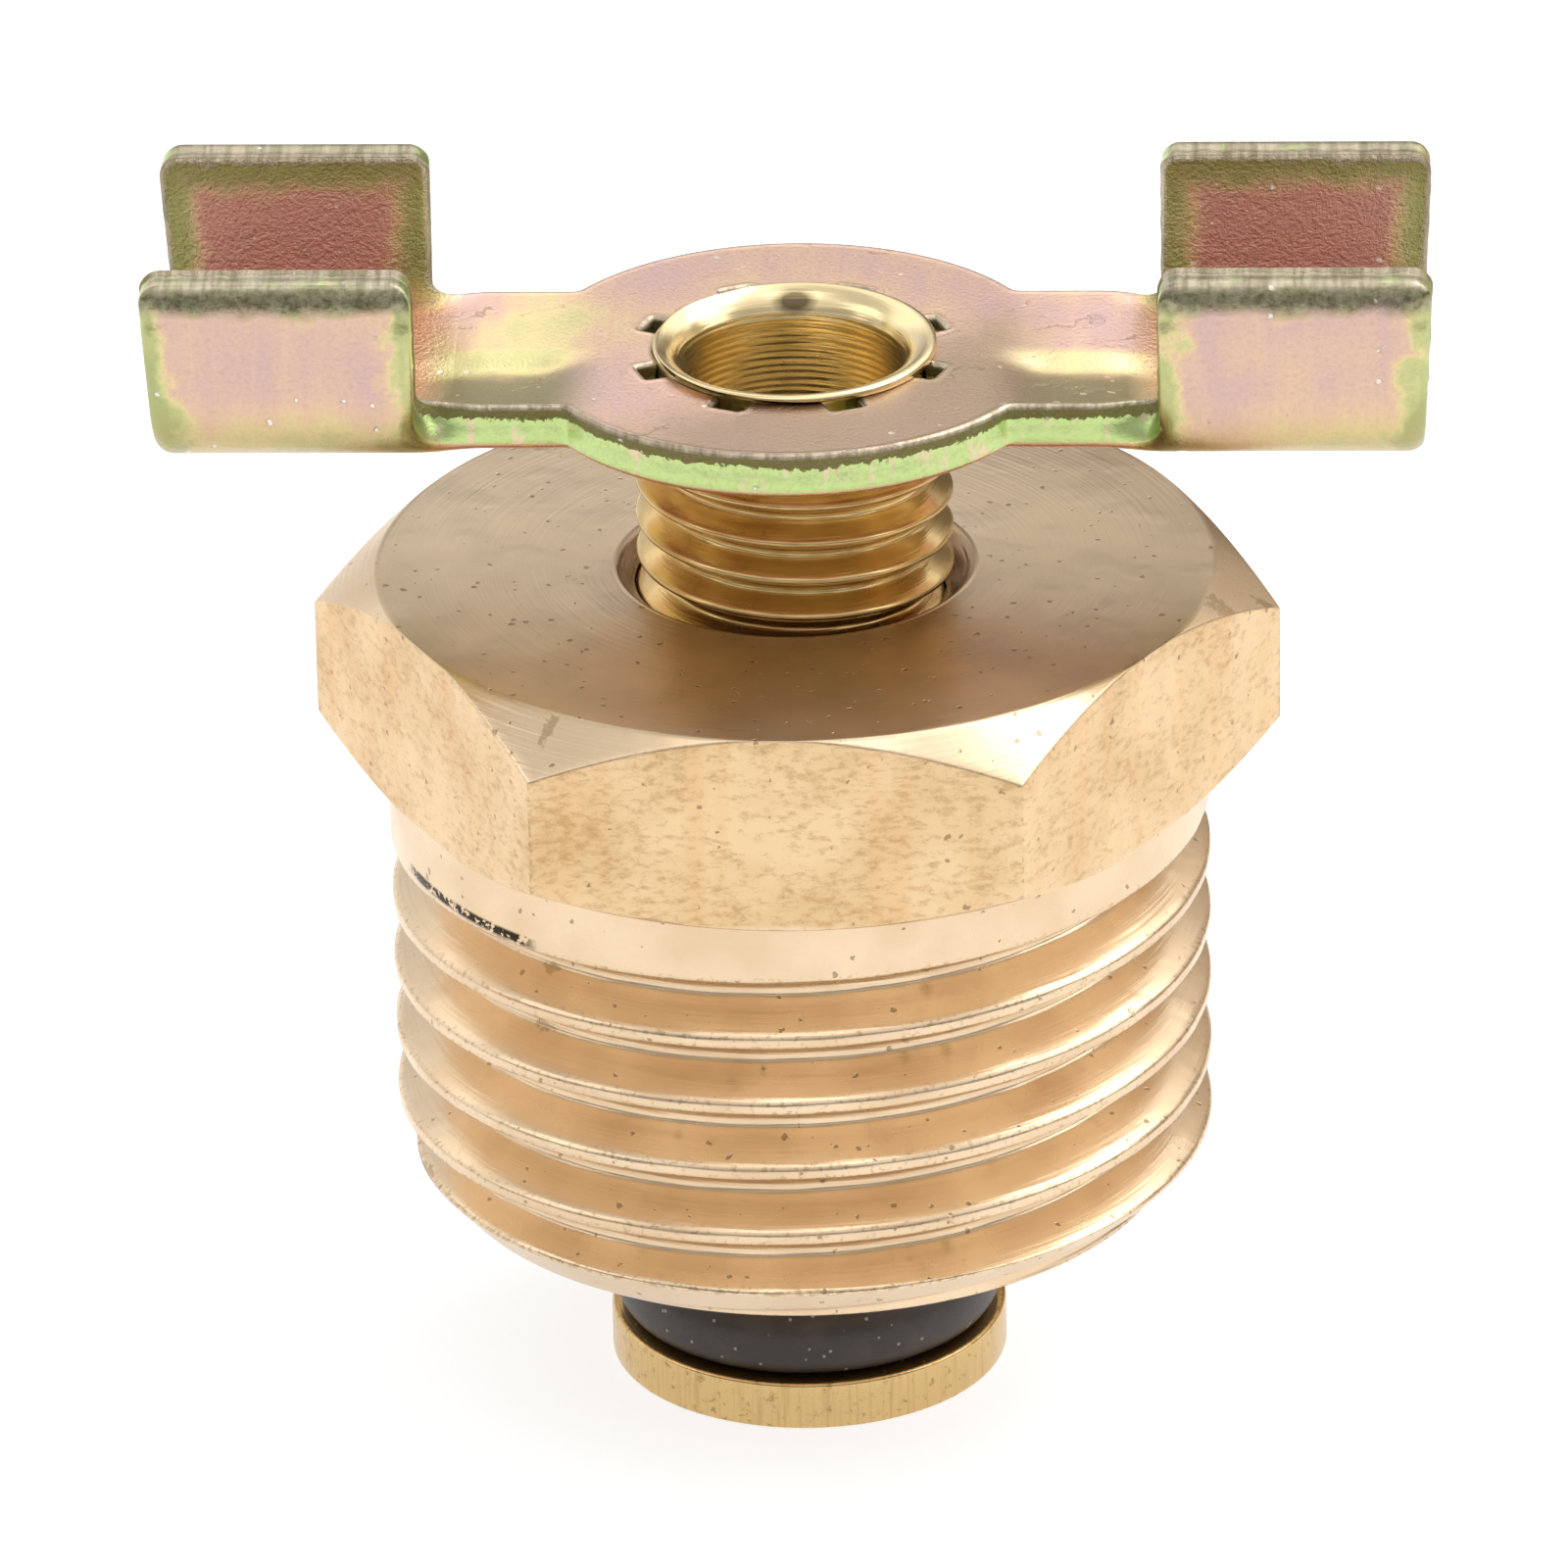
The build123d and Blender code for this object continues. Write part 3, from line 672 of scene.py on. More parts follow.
# A wave texture of scale 0.314 repeats once for each unit, so this one has a mark for every 0.19 mm.
tool_marks = add_node(tree, "ShaderNodeTexWave", {"Vector": ring_place, "Scale": 0.314 * per_mm(0.19),
                                                  "Distortion": 3.0, "Detail": 2.0}, bands_direction="Y")
mark_depth = add_node(tree, "ShaderNodeMath", {0: in_bore, 1: 0.8}, operation="MULTIPLY")
rings = add_node(tree, "ShaderNodeMath", {0: tool_marks.outputs["Fac"], 1: mark_depth, 2: rings},
                 operation="MULTIPLY_ADD")
height = add_node(tree, "ShaderNodeMix", {0: on_rim, 2: rings, 3: scores}).outputs[0]
relief = add_node(tree, "ShaderNodeBump", {"Height": height, "Distance": 0.012 * mm})
tree.links.new(relief.outputs[0], surface.inputs["Normal"])
print("golden brass:", len(tree.nodes), "nodes")

# %% Cut the stem's thread
apply_tree(spindle, cut_thread, {
    "Pitch": stem_pitch * mm,
    "Floor Radius": stem_thread_root * mm,
    "Floor Half Width": ((stem_pitch - stem_crest) / 2 - stem_thread_depth * stem_flank) * mm,
    "Flank Slope": stem_flank,
    "Groove Start": (stem_groove_start + stem_thread_turn * stem_pitch) * mm,
    "Last Turn": endless,
    "Hand": -1.0,
    "Side": 1.0,
    "Rounding": 0.09 * mm,
    "Lowest": (thread_base + 0.2) * mm,
    "Material": golden_brass,
})
print("stem with its thread:", triangle_count(spindle), "triangles")

# %% Drill the stem's cross hole
cross_hole_radius = 1.5
drill_mesh = bpy.data.meshes.new("drill")
drill_shape = bmesh.new()
drill_place = Matrix.Translation((0, 0, cross_hole_height * mm)) @ Matrix.Rotation(pi / 2, 4, "X")
bmesh.ops.create_cone(drill_shape, cap_ends=True, segments=48, radius1=cross_hole_radius * mm,
                      radius2=cross_hole_radius * mm, depth=8 * mm, matrix=drill_place)
drill_shape.to_mesh(drill_mesh)
drill_shape.free()
drill_mesh.materials.append(golden_brass)
drill = bpy.data.objects.new("drill", drill_mesh)
scene.collection.objects.link(drill)
drilling = spindle.modifiers.new("cross_hole", "BOOLEAN")
drilling.object = drill
drilling.solver = "MANIFOLD"
keep_result(spindle)
bpy.data.objects.remove(drill)
print("stem:", triangle_count(spindle), "triangles")

# %% [markdown]
# ## The ring
# The seal is a moulded O-ring, stretched over the neck. Its section is round above and flattened a little
# below, where it lies on the flange.

# %% The ring
ring_radius = 3.925
ring_section = 1.0
ring_height = flange_thickness + 0.02 + ring_section
around = np.arange(40) / 40 * 2 * pi
squareness = np.where(np.sin(around) < 0, 3.6, 2.0)
stretch = (np.abs(np.cos(around)) ** squareness + np.abs(np.sin(around)) ** squareness) ** (-1 / squareness)
ring_rows = np.stack([ring_radius + ring_section * stretch * np.cos(around),
                      ring_height + ring_section * stretch * np.sin(around)], -1)
seal_ring = spin_rows("seal_ring", ring_rows[:, None, :], np.arange(160) / 160 * 2 * pi, closed=True)
print("ring:", triangle_count(seal_ring), "triangles")

# %% [markdown]
# ## Nitrile rubber
# The ring is moulded nitrile rubber, a dark brownish black that is neither matt nor glossy. Pale dust
# sticks to it.

# %% Nitrile rubber
nitrile_rubber, tree, surface = start_material("nitrile_rubber")
place = add_node(tree, "ShaderNodeTexCoord").outputs["Object"]
dust = add_node(tree, "ShaderNodeTexVoronoi", {"Vector": place, "Scale": per_mm(0.42)})
dust = add_node(tree, "ShaderNodeMapRange", {0: dust, 1: 0.08, 2: 0.13, 3: 0.8, 4: 0.0})
haze = add_node(tree, "ShaderNodeTexNoise", {"Vector": place, "Scale": per_mm(0.9), "Detail": 5.0})
haze = add_node(tree, "ShaderNodeMapRange", {0: haze, 1: 0.45, 2: 0.75, 4: 0.35})
colour = linear("#443C38")
for share, tint in ((haze, "#74685F"), (dust, "#C9C2B4")):
    colour = add_node(tree, "ShaderNodeMix", {0: share, 6: colour, 7: linear(tint)},
                      data_type="RGBA").outputs[2]
tree.links.new(colour, surface.inputs["Base Color"])
rough = add_node(tree, "ShaderNodeMapRange", {0: haze, 3: 0.42, 4: 0.6})
tree.links.new(rough.outputs[0], surface.inputs["Roughness"])
grain = add_node(tree, "ShaderNodeTexNoise", {"Vector": place, "Scale": per_mm(0.12), "Detail": 2.0})
relief = add_node(tree, "ShaderNodeBump", {"Height": grain, "Distance": 0.008 * mm})
tree.links.new(relief.outputs[0], surface.inputs["Normal"])
seal_ring.data.materials.append(nitrile_rubber)
print("nitrile rubber:", len(tree.nodes), "nodes")

# %% [markdown]
# ## The handle's blank
# The wing handle is stamped from sheet steel and then folded. It is made here in the same order. The
# blank's outline is drawn flat, with the length that each fold takes up. Points are spread over it, close
# together at the edges and wider apart inside, and joined into triangles. Stamping leaves its mark on the
# cut: the side that lay on the die is rounded over, the cut face is smooth and then torn, and the other
# side has a burr.

# %% Sizes of the blank
disc_radius = 6.5
arm_half_width = 3.5
wing_start = 9.2
wing_end = 15.9
flat_half_width = 2.7
bend_radius = 2.0 - sheet_thickness / 2
wing_floor = shoulder - 0.15
wing_crown = shoulder + 4.9
wall_straight = wing_crown - wing_floor - sheet_thickness / 2 - bend_radius
blank_half_width = flat_half_width + bend_radius * pi / 2 + wall_straight
stem_hole_radius = 3.45
handle_turn = radians(-2.4)
edge_step = 0.13
print("blank:", round(2 * wing_end, 1), "by", round(2 * blank_half_width, 2), "mm")

# %% A helper that rounds the corners of an outline
def rounded_outline(corners):
    """Points along a closed outline from corners given as (x, y, radius)."""
    points = []
    count = len(corners)
    for index in range(count):
        x, y, radius = corners[index]
        here = np.array((x, y))
        back = np.array(corners[index - 1][:2]) - here
        on = np.array(corners[(index + 1) % count][:2]) - here
        back_length, on_length = np.linalg.norm(back), np.linalg.norm(on)
        half_angle = np.arccos(np.clip(back @ on / back_length / on_length, -1, 1)) / 2
        nearly_straight = 1.56
        if radius == 0 or half_angle > nearly_straight:
            points.append(here)
            continue
        reach = radius / tan(half_angle)
        middle = here + (back / back_length + on / on_length) * reach / cos(half_angle) ** 2 / 2
        start = here + back / back_length * reach - middle
        end = here + on / on_length * reach - middle
        sweep = atan2(start[0] * end[1] - start[1] * end[0], start @ end)
        steps = max(3, int(abs(sweep) * radius / edge_step) + 1)
        for step in range(steps + 1):
            turned = sweep * step / steps
            points.append(middle + np.array((start[0] * cos(turned) - start[1] * sin(turned),
                                             start[0] * sin(turned) + start[1] * cos(turned))))
    points = np.array(points)
    gaps = np.linalg.norm(np.roll(points, -1, 0) - points, axis=1)
    filled = []
    for point, after, gap in zip(points, np.roll(points, -1, 0), gaps):
        pieces = max(1, round(gap / edge_step))
        filled += [point + (after - point) * step / pieces for step in range(pieces)]
    return np.array(filled)


# %% The outline of the handle
def wing_corners(side, root_radius, corner_radius, slant):
    """Half an outline round one wing, from the disc's front to its back. Side 1 is right and -1 left."""
    junction = sqrt(disc_radius ** 2 - arm_half_width ** 2)
    width = blank_half_width
    corners = [
        (junction, -arm_half_width, 0.3),
        (wing_start, -arm_half_width, root_radius),
        (wing_start, -width, corner_radius),
        (wing_end, -width, corner_radius),
        (wing_end - slant, -flat_half_width, 0.5),
        (wing_end - slant, flat_half_width, 0.5),
        (wing_end, width, corner_radius),
        (wing_start, width, corner_radius),
        (wing_start, arm_half_width, root_radius),
        (junction, arm_half_width, 0.3),
    ]
    if side > 0:
        return corners
    return [(-x, -y, radius) for x, y, radius in corners]


def disc_arc(start, end):
    """Points along the disc's edge between two angles in degrees."""
    angles = np.linspace(radians(start), radians(end), 80)
    return [(disc_radius * cos(angle), disc_radius * sin(angle), 0) for angle in angles]


handle_corners = wing_corners(side=1, root_radius=0.6, corner_radius=0.45, slant=0.22) + disc_arc(36, 144)
handle_corners += wing_corners(side=-1, root_radius=0.95, corner_radius=0.5, slant=0.35) + disc_arc(216, 324)
handle_outline = rounded_outline(handle_corners)
print("outline:", len(handle_outline), "points")

# %% The notched hole
def notched_hole(notch_depth, notch_width):
    """The hole for the stem's tail, with eight notches that the swaged tail grips. It runs clockwise."""
    corners = []
    reach = pi / 8
    half = notch_width / 2 / stem_hole_radius
    notch_radius = stem_hole_radius + notch_depth
    for notch in range(8):
        middle = pi / 8 + notch * pi / 4
        before = [middle - reach + (reach - half) * step / 8 for step in range(8)]
        after = [middle + half + (reach - half) * step / 8 for step in range(1, 8)]
        corners += [(stem_hole_radius * cos(angle), stem_hole_radius * sin(angle), 0) for angle in before]
        for radius, side in ((stem_hole_radius, -1), (notch_radius, -0.8), (notch_radius, 0.8),
                             (stem_hole_radius, 1)):
            angle = middle + side * half
            corners.append((radius * cos(angle), radius * sin(angle), 0.1))
        corners += [(stem_hole_radius * cos(angle), stem_hole_radius * sin(angle), 0) for angle in after]
    return rounded_outline(corners[::-1])


hole_outline = notched_hole(notch_depth=0.6, notch_width=0.95)
print("hole:", len(hole_outline), "points")

# %% A helper that follows the edges
def trace_edges(outlines):
    """The edge points, the loops that they form, the edges between them and the way inward at each point."""
    loops, inward, edges, first = [], [], [], 0
    for outline in outlines:
        count = len(outline)
        along = np.roll(outline, -1, 0) - np.roll(outline, 1, 0)
        along /= np.linalg.norm(along, axis=1, keepdims=True)
        inward.append(np.stack([-along[:, 1], along[:, 0]], 1))
        loops.append(np.arange(first, first + count))
        edges += [(first + index, first + (index + 1) % count) for index in range(count)]
        first += count
    return np.concatenate(outlines), loops, edges, np.concatenate(inward)


# %% Helpers that spread points over the sheet
def distance_to(points, edge_points):
    """How far each point lies from the nearest edge point, a part at a time to save memory."""
    parts = np.array_split(points, len(points) // 1500 + 1)
    nearest = [np.linalg.norm(part[:, None] - edge_points[None], axis=2).min(1) for part in parts]
    return np.concatenate(nearest)


def spread_points(edge_points, inward, inset_depths, inner_step):
    """Rows of points beside the edges, a triangular grid inside them, and how deep each point lies."""
    kept, depths = [edge_points], [np.zeros(len(edge_points))]
    for depth in inset_depths:
        moved = edge_points + inward * depth
        clear = distance_to(moved, edge_points) > 0.97 * depth
        kept.append(moved[clear])
        depths.append(np.full(clear.sum(), depth))
    low, high = edge_points.min(0), edge_points.max(0)
    across = np.arange(low[0], high[0], inner_step)
    up = np.arange(low[1], high[1], inner_step * 0.866)
    grid = np.stack(np.meshgrid(across, up), -1)
    grid[1::2, :, 0] += inner_step / 2
    grid = grid.reshape(-1, 2)
    distance = distance_to(grid, edge_points)
    clear = distance > inset_depths[-1] + 0.5 * inner_step
    kept.append(grid[clear])
    depths.append(distance[clear])
    return np.concatenate(kept), np.concatenate(depths)


# %% Join the points into triangles
def join_points(points, edges):
    """Triangles between the points, where they lie inside the outline and outside its hole."""
    filled = delaunay_2d_cdt([Vector(point) for point in points], edges, [], 0, 1e-6)
    origin = [sources[0] for sources in filled[3]]
    triangles = np.array([[origin[corner] for corner in face] for face in filled[2]])
    centres = points[triangles].mean(1)
    inside = np.zeros(len(centres), bool)
    for start, end in edges:
        (ax, ay), (bx, by) = points[start], points[end]
        crosses = (ay > centres[:, 1]) != (by > centres[:, 1])
        if ay != by:
            inside ^= crosses & (centres[:, 0] < ax + (centres[:, 1] - ay) * (bx - ax) / (by - ay))
    return triangles[inside]


inset_depths = (0.05, 0.11, 0.18, 0.26, 0.36, 0.48, 0.62, 0.78)
edge_points, edge_loops, sheet_edges, inward = trace_edges([handle_outline, hole_outline])
sheet_points, sheet_depths = spread_points(edge_points, inward, inset_depths, inner_step=0.3)
sheet_triangles = join_points(sheet_points, sheet_edges)
print("sheet:", len(sheet_points), "points,", len(sheet_triangles), "triangles a side")

# %% The two skins of the sheet
def skin_heights(points, depths):
    """Heights of the upper skin, with its burr, and of the under skin, which is rounded over at the edge."""
    half = sheet_thickness / 2
    at_crown = np.clip((np.abs(points[:, 1]) - blank_half_width + 1.2) / 0.3, 0, 1)
    roll_width = 0.4 + 0.35 * at_crown
    roll_height = 0.22 + 0.1 * at_crown
    fall = np.clip(1 - depths / roll_width, 0, 1)
    below = -half + roll_height * (0.6 * (1 - np.sqrt(1 - fall ** 2 * 0.98)) + 0.4 * fall ** 2)
    burr_height, burr_width, chamfer = 0.02, 0.08, 0.03
    burr = burr_height * np.clip(1 - np.abs(depths - burr_width) / burr_width, 0, 1)
    above = half + burr - chamfer * (depths < 0.01)
    return above, below


# %% The cut face between the skins
def cut_rings(points, above, below, loop, inward):
    """Rings of points down the cut face, with the share of the height that each is at."""
    levels = ((0.975, -0.026), (0.94, -0.042), (0.89, -0.044), (0.75, -0.01), (0.6, 0.01), (0.45, 0.0),
              (0.3, -0.02), (0.15, -0.02), (0.03, -0.008))
    phase = np.arange(len(loop))
    for level, bulge in levels:
        torn = 0.012 * np.sin(phase * 0.9 + 3 * np.sin(phase * 0.13)) * (0.35 < level < 0.9)
        ring = points[loop] + inward[loop] * (bulge + torn)[:, None]
        height = below[loop] + (above[loop] - below[loop]) * level
        yield level, np.column_stack([ring, height])


# %% Give the sheet its thickness
def thicken(points, depths, triangles, loops, inward):
    """Vertices, their side and depth, and faces of a solid sheet whose middle is at Z = 0."""
    above, below = skin_heights(points, depths)
    count = first = len(points)
    first += count
    vertices = [np.column_stack([points, above]), np.column_stack([points, below])]
    side = [np.ones(count), -np.ones(count)]
    edge = [depths, depths]
    faces = triangles.tolist() + (triangles[:, ::-1] + count).tolist()
    for loop in loops:
        rings = [loop]
        for level, ring in cut_rings(points, above, below, loop, inward):
            vertices.append(ring)
            side.append(np.full(len(loop), level * 2 - 1))
            edge.append(np.zeros(len(loop)))
            rings.append(np.arange(first, first + len(loop)))
            first += len(loop)
        rings.append(loop + count)
        for upper, lower in zip(rings, rings[1:]):
            faces += np.stack([upper, lower, np.roll(lower, -1), np.roll(upper, -1)], 1).tolist()
    return np.concatenate(vertices), np.concatenate(side), np.concatenate(edge), faces


vertices, sheet_side, edge_distance, faces = thicken(sheet_points, sheet_depths, sheet_triangles, edge_loops,
                                                     inward)
print("solid sheet:", len(vertices), "points")

# %% [markdown]
# The finish has to follow the sheet round its folds, so the mesh keeps three attributes of the flat blank:
# how far each point lies from the edge, which side it is on, from -1 below to 1 above, and its place in
# millimetres.

# %% The blank's mesh and its attributes
handle_mesh = bpy.data.meshes.new("handle")
handle_mesh.from_pydata(vertices * mm, [], faces)
for label, kind, field, values in (
    ("edge_distance", "FLOAT", "value", edge_distance),
    ("sheet_side", "FLOAT", "value", sheet_side),
    ("blank_place", "FLOAT_VECTOR", "vector", vertices),
):
    layer = handle_mesh.attributes.new(label, kind, "POINT")
    layer.data.foreach_set(field, values.astype(np.float32).ravel())
handle = bpy.data.objects.new("handle", handle_mesh)
scene.collection.objects.link(handle)
merge_and_turn_out(handle)
print("flat blank:", len(handle.data.polygons), "faces")

# %% [markdown]
# ## Yellow zinc plate
# The handle is mild steel, zinc plated and dipped in a yellow passivate. The passivate is a clear film, and
# its thickness decides its colour: pink and peach over most of the sheet, yellow and green where it is
# thicker, near the edges and in the folds. A single number stands for the thickness, and a colour ramp
# turns it to a colour. The blank's coordinates are in millimetres: a noise of scale 0.3 has clouds some
# 3 mm wide, and one of scale 8 a grain of an eighth of a millimetre. That grain is drawn coarser than the
# crystals of real plate, so that it shows.

# %% Zinc plate: the sheet's own coordinates and its patterns
zinc_plate, tree, surface = start_material("yellow_zinc_plate")
edge = add_node(tree, "ShaderNodeAttribute", attribute_name="edge_distance").outputs["Fac"]
side = add_node(tree, "ShaderNodeAttribute", attribute_name="sheet_side").outputs["Fac"]
blank = add_node(tree, "ShaderNodeAttribute", attribute_name="blank_place").outputs["Vector"]
signed_x, signed_y, _ = add_node(tree, "ShaderNodeSeparateXYZ", {0: blank}).outputs
blank_x = add_node(tree, "ShaderNodeMath", {0: signed_x}, operation="ABSOLUTE")
blank_y = add_node(tree, "ShaderNodeMath", {0: signed_y}, operation="ABSOLUTE")

cloud = add_node(tree, "ShaderNodeTexNoise", {"Vector": blank, "Scale": 0.3, "Detail": 4.0})
patch = add_node(tree, "ShaderNodeTexNoise", {"Vector": blank, "Scale": 1.2, "Detail": 4.0})
streak_place = add_node(tree, "ShaderNodeMapping", {"Vector": blank, "Scale": (2.6, 0.3, 1.0)})
streaks = add_node(tree, "ShaderNodeTexNoise", {"Vector": streak_place, "Scale": 1.0, "Detail": 3.0})
grain = add_node(tree, "ShaderNodeTexNoise", {"Vector": blank, "Scale": 8.0, "Detail": 4.0, "Roughness": 0.7})
ragged = add_node(tree, "ShaderNodeTexNoise", {"Vector": blank, "Scale": 4.0, "Detail": 4.0,
                                               "Roughness": 0.7})
wander = add_node(tree, "ShaderNodeMapRange", {0: patch, 1: 0.2, 2: 0.8, 3: -0.7, 4: 0.7})
print("patterns:", len(tree.nodes), "nodes")

# %% Zinc plate: the regions of the handle
on_wing = add_node(tree, "ShaderNodeMapRange", {0: blank_x, 1: 8.4, 2: 9.4})
off_wing = add_node(tree, "ShaderNodeMapRange", {0: on_wing, 3: 1.0, 4: 0.0})
on_arm = add_node(tree, "ShaderNodeMapRange", {0: blank_x, 1: 4.2, 2: 6.2}, interpolation_type="SMOOTHSTEP")
on_disc = add_node(tree, "ShaderNodeMapRange", {0: blank_x, 1: 5.2, 2: 7.0, 3: 1.0, 4: 0.0})
on_top = add_node(tree, "ShaderNodeMapRange", {0: side, 1: 0.96, 2: 0.99})
underside = add_node(tree, "ShaderNodeMapRange", {0: side, 1: -0.99, 2: -0.96, 3: 1.0, 4: 0.0})
inside_wing = add_node(tree, "ShaderNodeMath", {0: on_top, 1: on_wing}, operation="MULTIPLY")
outside_wing = add_node(tree, "ShaderNodeMath", {0: underside, 1: on_wing}, operation="MULTIPLY")
bare_arm = add_node(tree, "ShaderNodeMath", {0: on_arm, 1: off_wing}, operation="MULTIPLY")
from_middle = add_node(tree, "ShaderNodeMath", {0: side}, operation="ABSOLUTE")
on_cut = add_node(tree, "ShaderNodeMapRange", {0: from_middle, 1: 0.94, 2: 0.985, 3: 1.0, 4: 0.0})
in_bend = add_node(tree, "ShaderNodeMapRange", {0: blank_y, 1: 3.6, 2: 5.2, 3: 0.42, 4: 0.0},
                   interpolation_type="SMOOTHSTEP")
in_bend = add_node(tree, "ShaderNodeMath", {0: in_bend, 1: on_wing}, operation="MULTIPLY")
print("with regions:", len(tree.nodes), "nodes")

# %% Zinc plate: the film along the edges
steadier = add_node(tree, "ShaderNodeMapRange", {0: inside_wing, 3: 1.0, 4: 0.35})
wandering_edge = add_node(tree, "ShaderNodeMath", {0: wander, 1: steadier, 2: edge}, operation="MULTIPLY_ADD")
rim_strength = add_node(tree, "ShaderNodeMapRange", {0: on_wing, 3: 0.1, 4: 0.6})
rim_strength = add_node(tree, "ShaderNodeMath", {0: inside_wing, 1: 0.25, 2: rim_strength},
                        operation="MULTIPLY_ADD")
rim_width = add_node(tree, "ShaderNodeMapRange", {0: inside_wing, 3: 1.0, 4: 1.4})
rim = add_node(tree, "ShaderNodeMapRange", {0: wandering_edge, 1: 0.1, 2: rim_width, 3: rim_strength, 4: 0.0},
               interpolation_type="SMOOTHSTEP")
print("with rims:", len(tree.nodes), "nodes")

# %% Zinc plate: the film over the sheet, in drips and along the crease
film = add_node(tree, "ShaderNodeMapRange", {0: cloud, 1: 0.32, 2: 0.72, 3: -0.08, 4: 0.3})
film = add_node(tree, "ShaderNodeMath", {0: streaks, 1: 0.34, 2: film}, operation="MULTIPLY_ADD")
film = add_node(tree, "ShaderNodeMath", {0: film, 1: rim}, operation="ADD")
drip_spot = (-6.2, 1.2, 0.0)
drained = add_node(tree, "ShaderNodeVectorMath", {0: blank, 1: drip_spot}, operation="DISTANCE")
drained = add_node(tree, "ShaderNodeMapRange", {0: drained.outputs["Value"], 1: 0.6, 2: 2.8, 3: 0.36, 4: 0.0},
                   interpolation_type="SMOOTHSTEP")
film = add_node(tree, "ShaderNodeMath", {0: film, 1: drained}, operation="ADD")
film = add_node(tree, "ShaderNodeMath", {0: film, 1: in_bend}, operation="ADD")
crease_band = add_node(tree, "ShaderNodeMath", {0: signed_y, 1: 0.4}, operation="ADD")
crease_band = add_node(tree, "ShaderNodeMath", {0: crease_band}, operation="ABSOLUTE")
crease_band = add_node(tree, "ShaderNodeMapRange", {0: crease_band, 1: 0.35, 2: 0.8, 3: 0.3, 4: 0.0},
                       interpolation_type="SMOOTHSTEP")
crease_band = add_node(tree, "ShaderNodeMath", {0: crease_band, 1: on_arm}, operation="MULTIPLY")
film = add_node(tree, "ShaderNodeMath", {0: crease_band, 1: off_wing, 2: film}, operation="MULTIPLY_ADD")

film_colour = add_node(tree, "ShaderNodeValToRGB", {0: film})
stops = ((0.0, "#E2BFC4"), (0.2, "#E8C3B8"), (0.42, "#F4CFB2"), (0.6, "#F6E2AA"), (0.82, "#D8D99A"),
         (1.0, "#BCC284"))
for place, _ in stops[1:-1]:
    film_colour.color_ramp.elements.new(place)
for stop, (place, hex_colour) in zip(film_colour.color_ramp.elements, stops):
    stop.position = place
    stop.color = linear(hex_colour)
print("with the film:", len(tree.nodes), "nodes")

# %% [markdown]
# The cut faces took the thickest film: green on their smooth part and olive on the torn part. Grime has
# gathered under the wings' crowns, the crowns themselves are rubbed to grey, and so is the burr along the
# edges.

# %% Zinc plate: the cut faces
torn = add_node(tree, "ShaderNodeMath", {0: patch, 1: 0.5, 2: side}, operation="MULTIPLY_ADD")
torn = add_node(tree, "ShaderNodeMath", {0: ragged, 1: 0.9, 2: torn}, operation="MULTIPLY_ADD")
torn = add_node(tree, "ShaderNodeMapRange", {0: torn, 1: 1.0, 2: 1.06})
scored = add_node(tree, "ShaderNodeMapRange", {0: streaks, 1: 0.55, 2: 0.68})
cut_colour = linear("#BFD48C")
for share, tint in ((scored, "#DCCBA6"), (torn, "#858052")):
    cut_colour = add_node(tree, "ShaderNodeMix", {0: share, 6: cut_colour, 7: linear(tint)},
                          data_type="RGBA").outputs[2]
print("with cut faces:", len(tree.nodes), "nodes")

# %% Zinc plate: grime and rubbed crowns
to_crown = add_node(tree, "ShaderNodeMath", {0: blank_half_width, 1: blank_y}, operation="SUBTRACT")
to_crown = add_node(tree, "ShaderNodeMath", {0: wander, 1: 0.3, 2: to_crown}, operation="MULTIPLY_ADD")
grimy = add_node(tree, "ShaderNodeMapRange", {0: to_crown, 1: 0.55, 2: 0.85, 3: 0.85, 4: 0.0})
grimy = add_node(tree, "ShaderNodeMath", {0: grimy, 1: underside}, operation="MULTIPLY")
blotches = add_node(tree, "ShaderNodeMapRange", {0: ragged, 1: 0.35, 2: 0.65})
grime_colour = add_node(tree, "ShaderNodeMix", {0: blotches, 6: linear("#66624A"), 7: linear("#B7B296")},
                        data_type="RGBA").outputs[2]
crown = add_node(tree, "ShaderNodeMapRange", {0: to_crown, 1: 0.02, 2: 0.2, 3: 0.9, 4: 0.0})
rubbed_place = add_node(tree, "ShaderNodeMapping", {"Vector": blank, "Scale": (5.0, 1.0, 0.6)})
rubbed = add_node(tree, "ShaderNodeTexNoise", {"Vector": rubbed_place, "Scale": 1.2, "Detail": 3.0})
rubbed = add_node(tree, "ShaderNodeMapRange", {0: rubbed, 1: 0.35, 2: 0.65})
rubbed_colour = add_node(tree, "ShaderNodeMix", {0: rubbed, 6: linear("#8F8470"), 7: linear("#C2B6A2")},
                         data_type="RGBA").outputs[2]
burr = add_node(tree, "ShaderNodeMapRange", {0: edge, 1: 0.03, 2: 0.14, 3: 0.85, 4: 0.0})
near_top = add_node(tree, "ShaderNodeMapRange", {0: side, 1: 0.8, 2: 0.88})
burr = add_node(tree, "ShaderNodeMath", {0: burr, 1: near_top}, operation="MULTIPLY")
worn = add_node(tree, "ShaderNodeMath", {0: crown, 1: burr}, operation="MAXIMUM")
print("with grime and wear:", len(tree.nodes), "nodes")
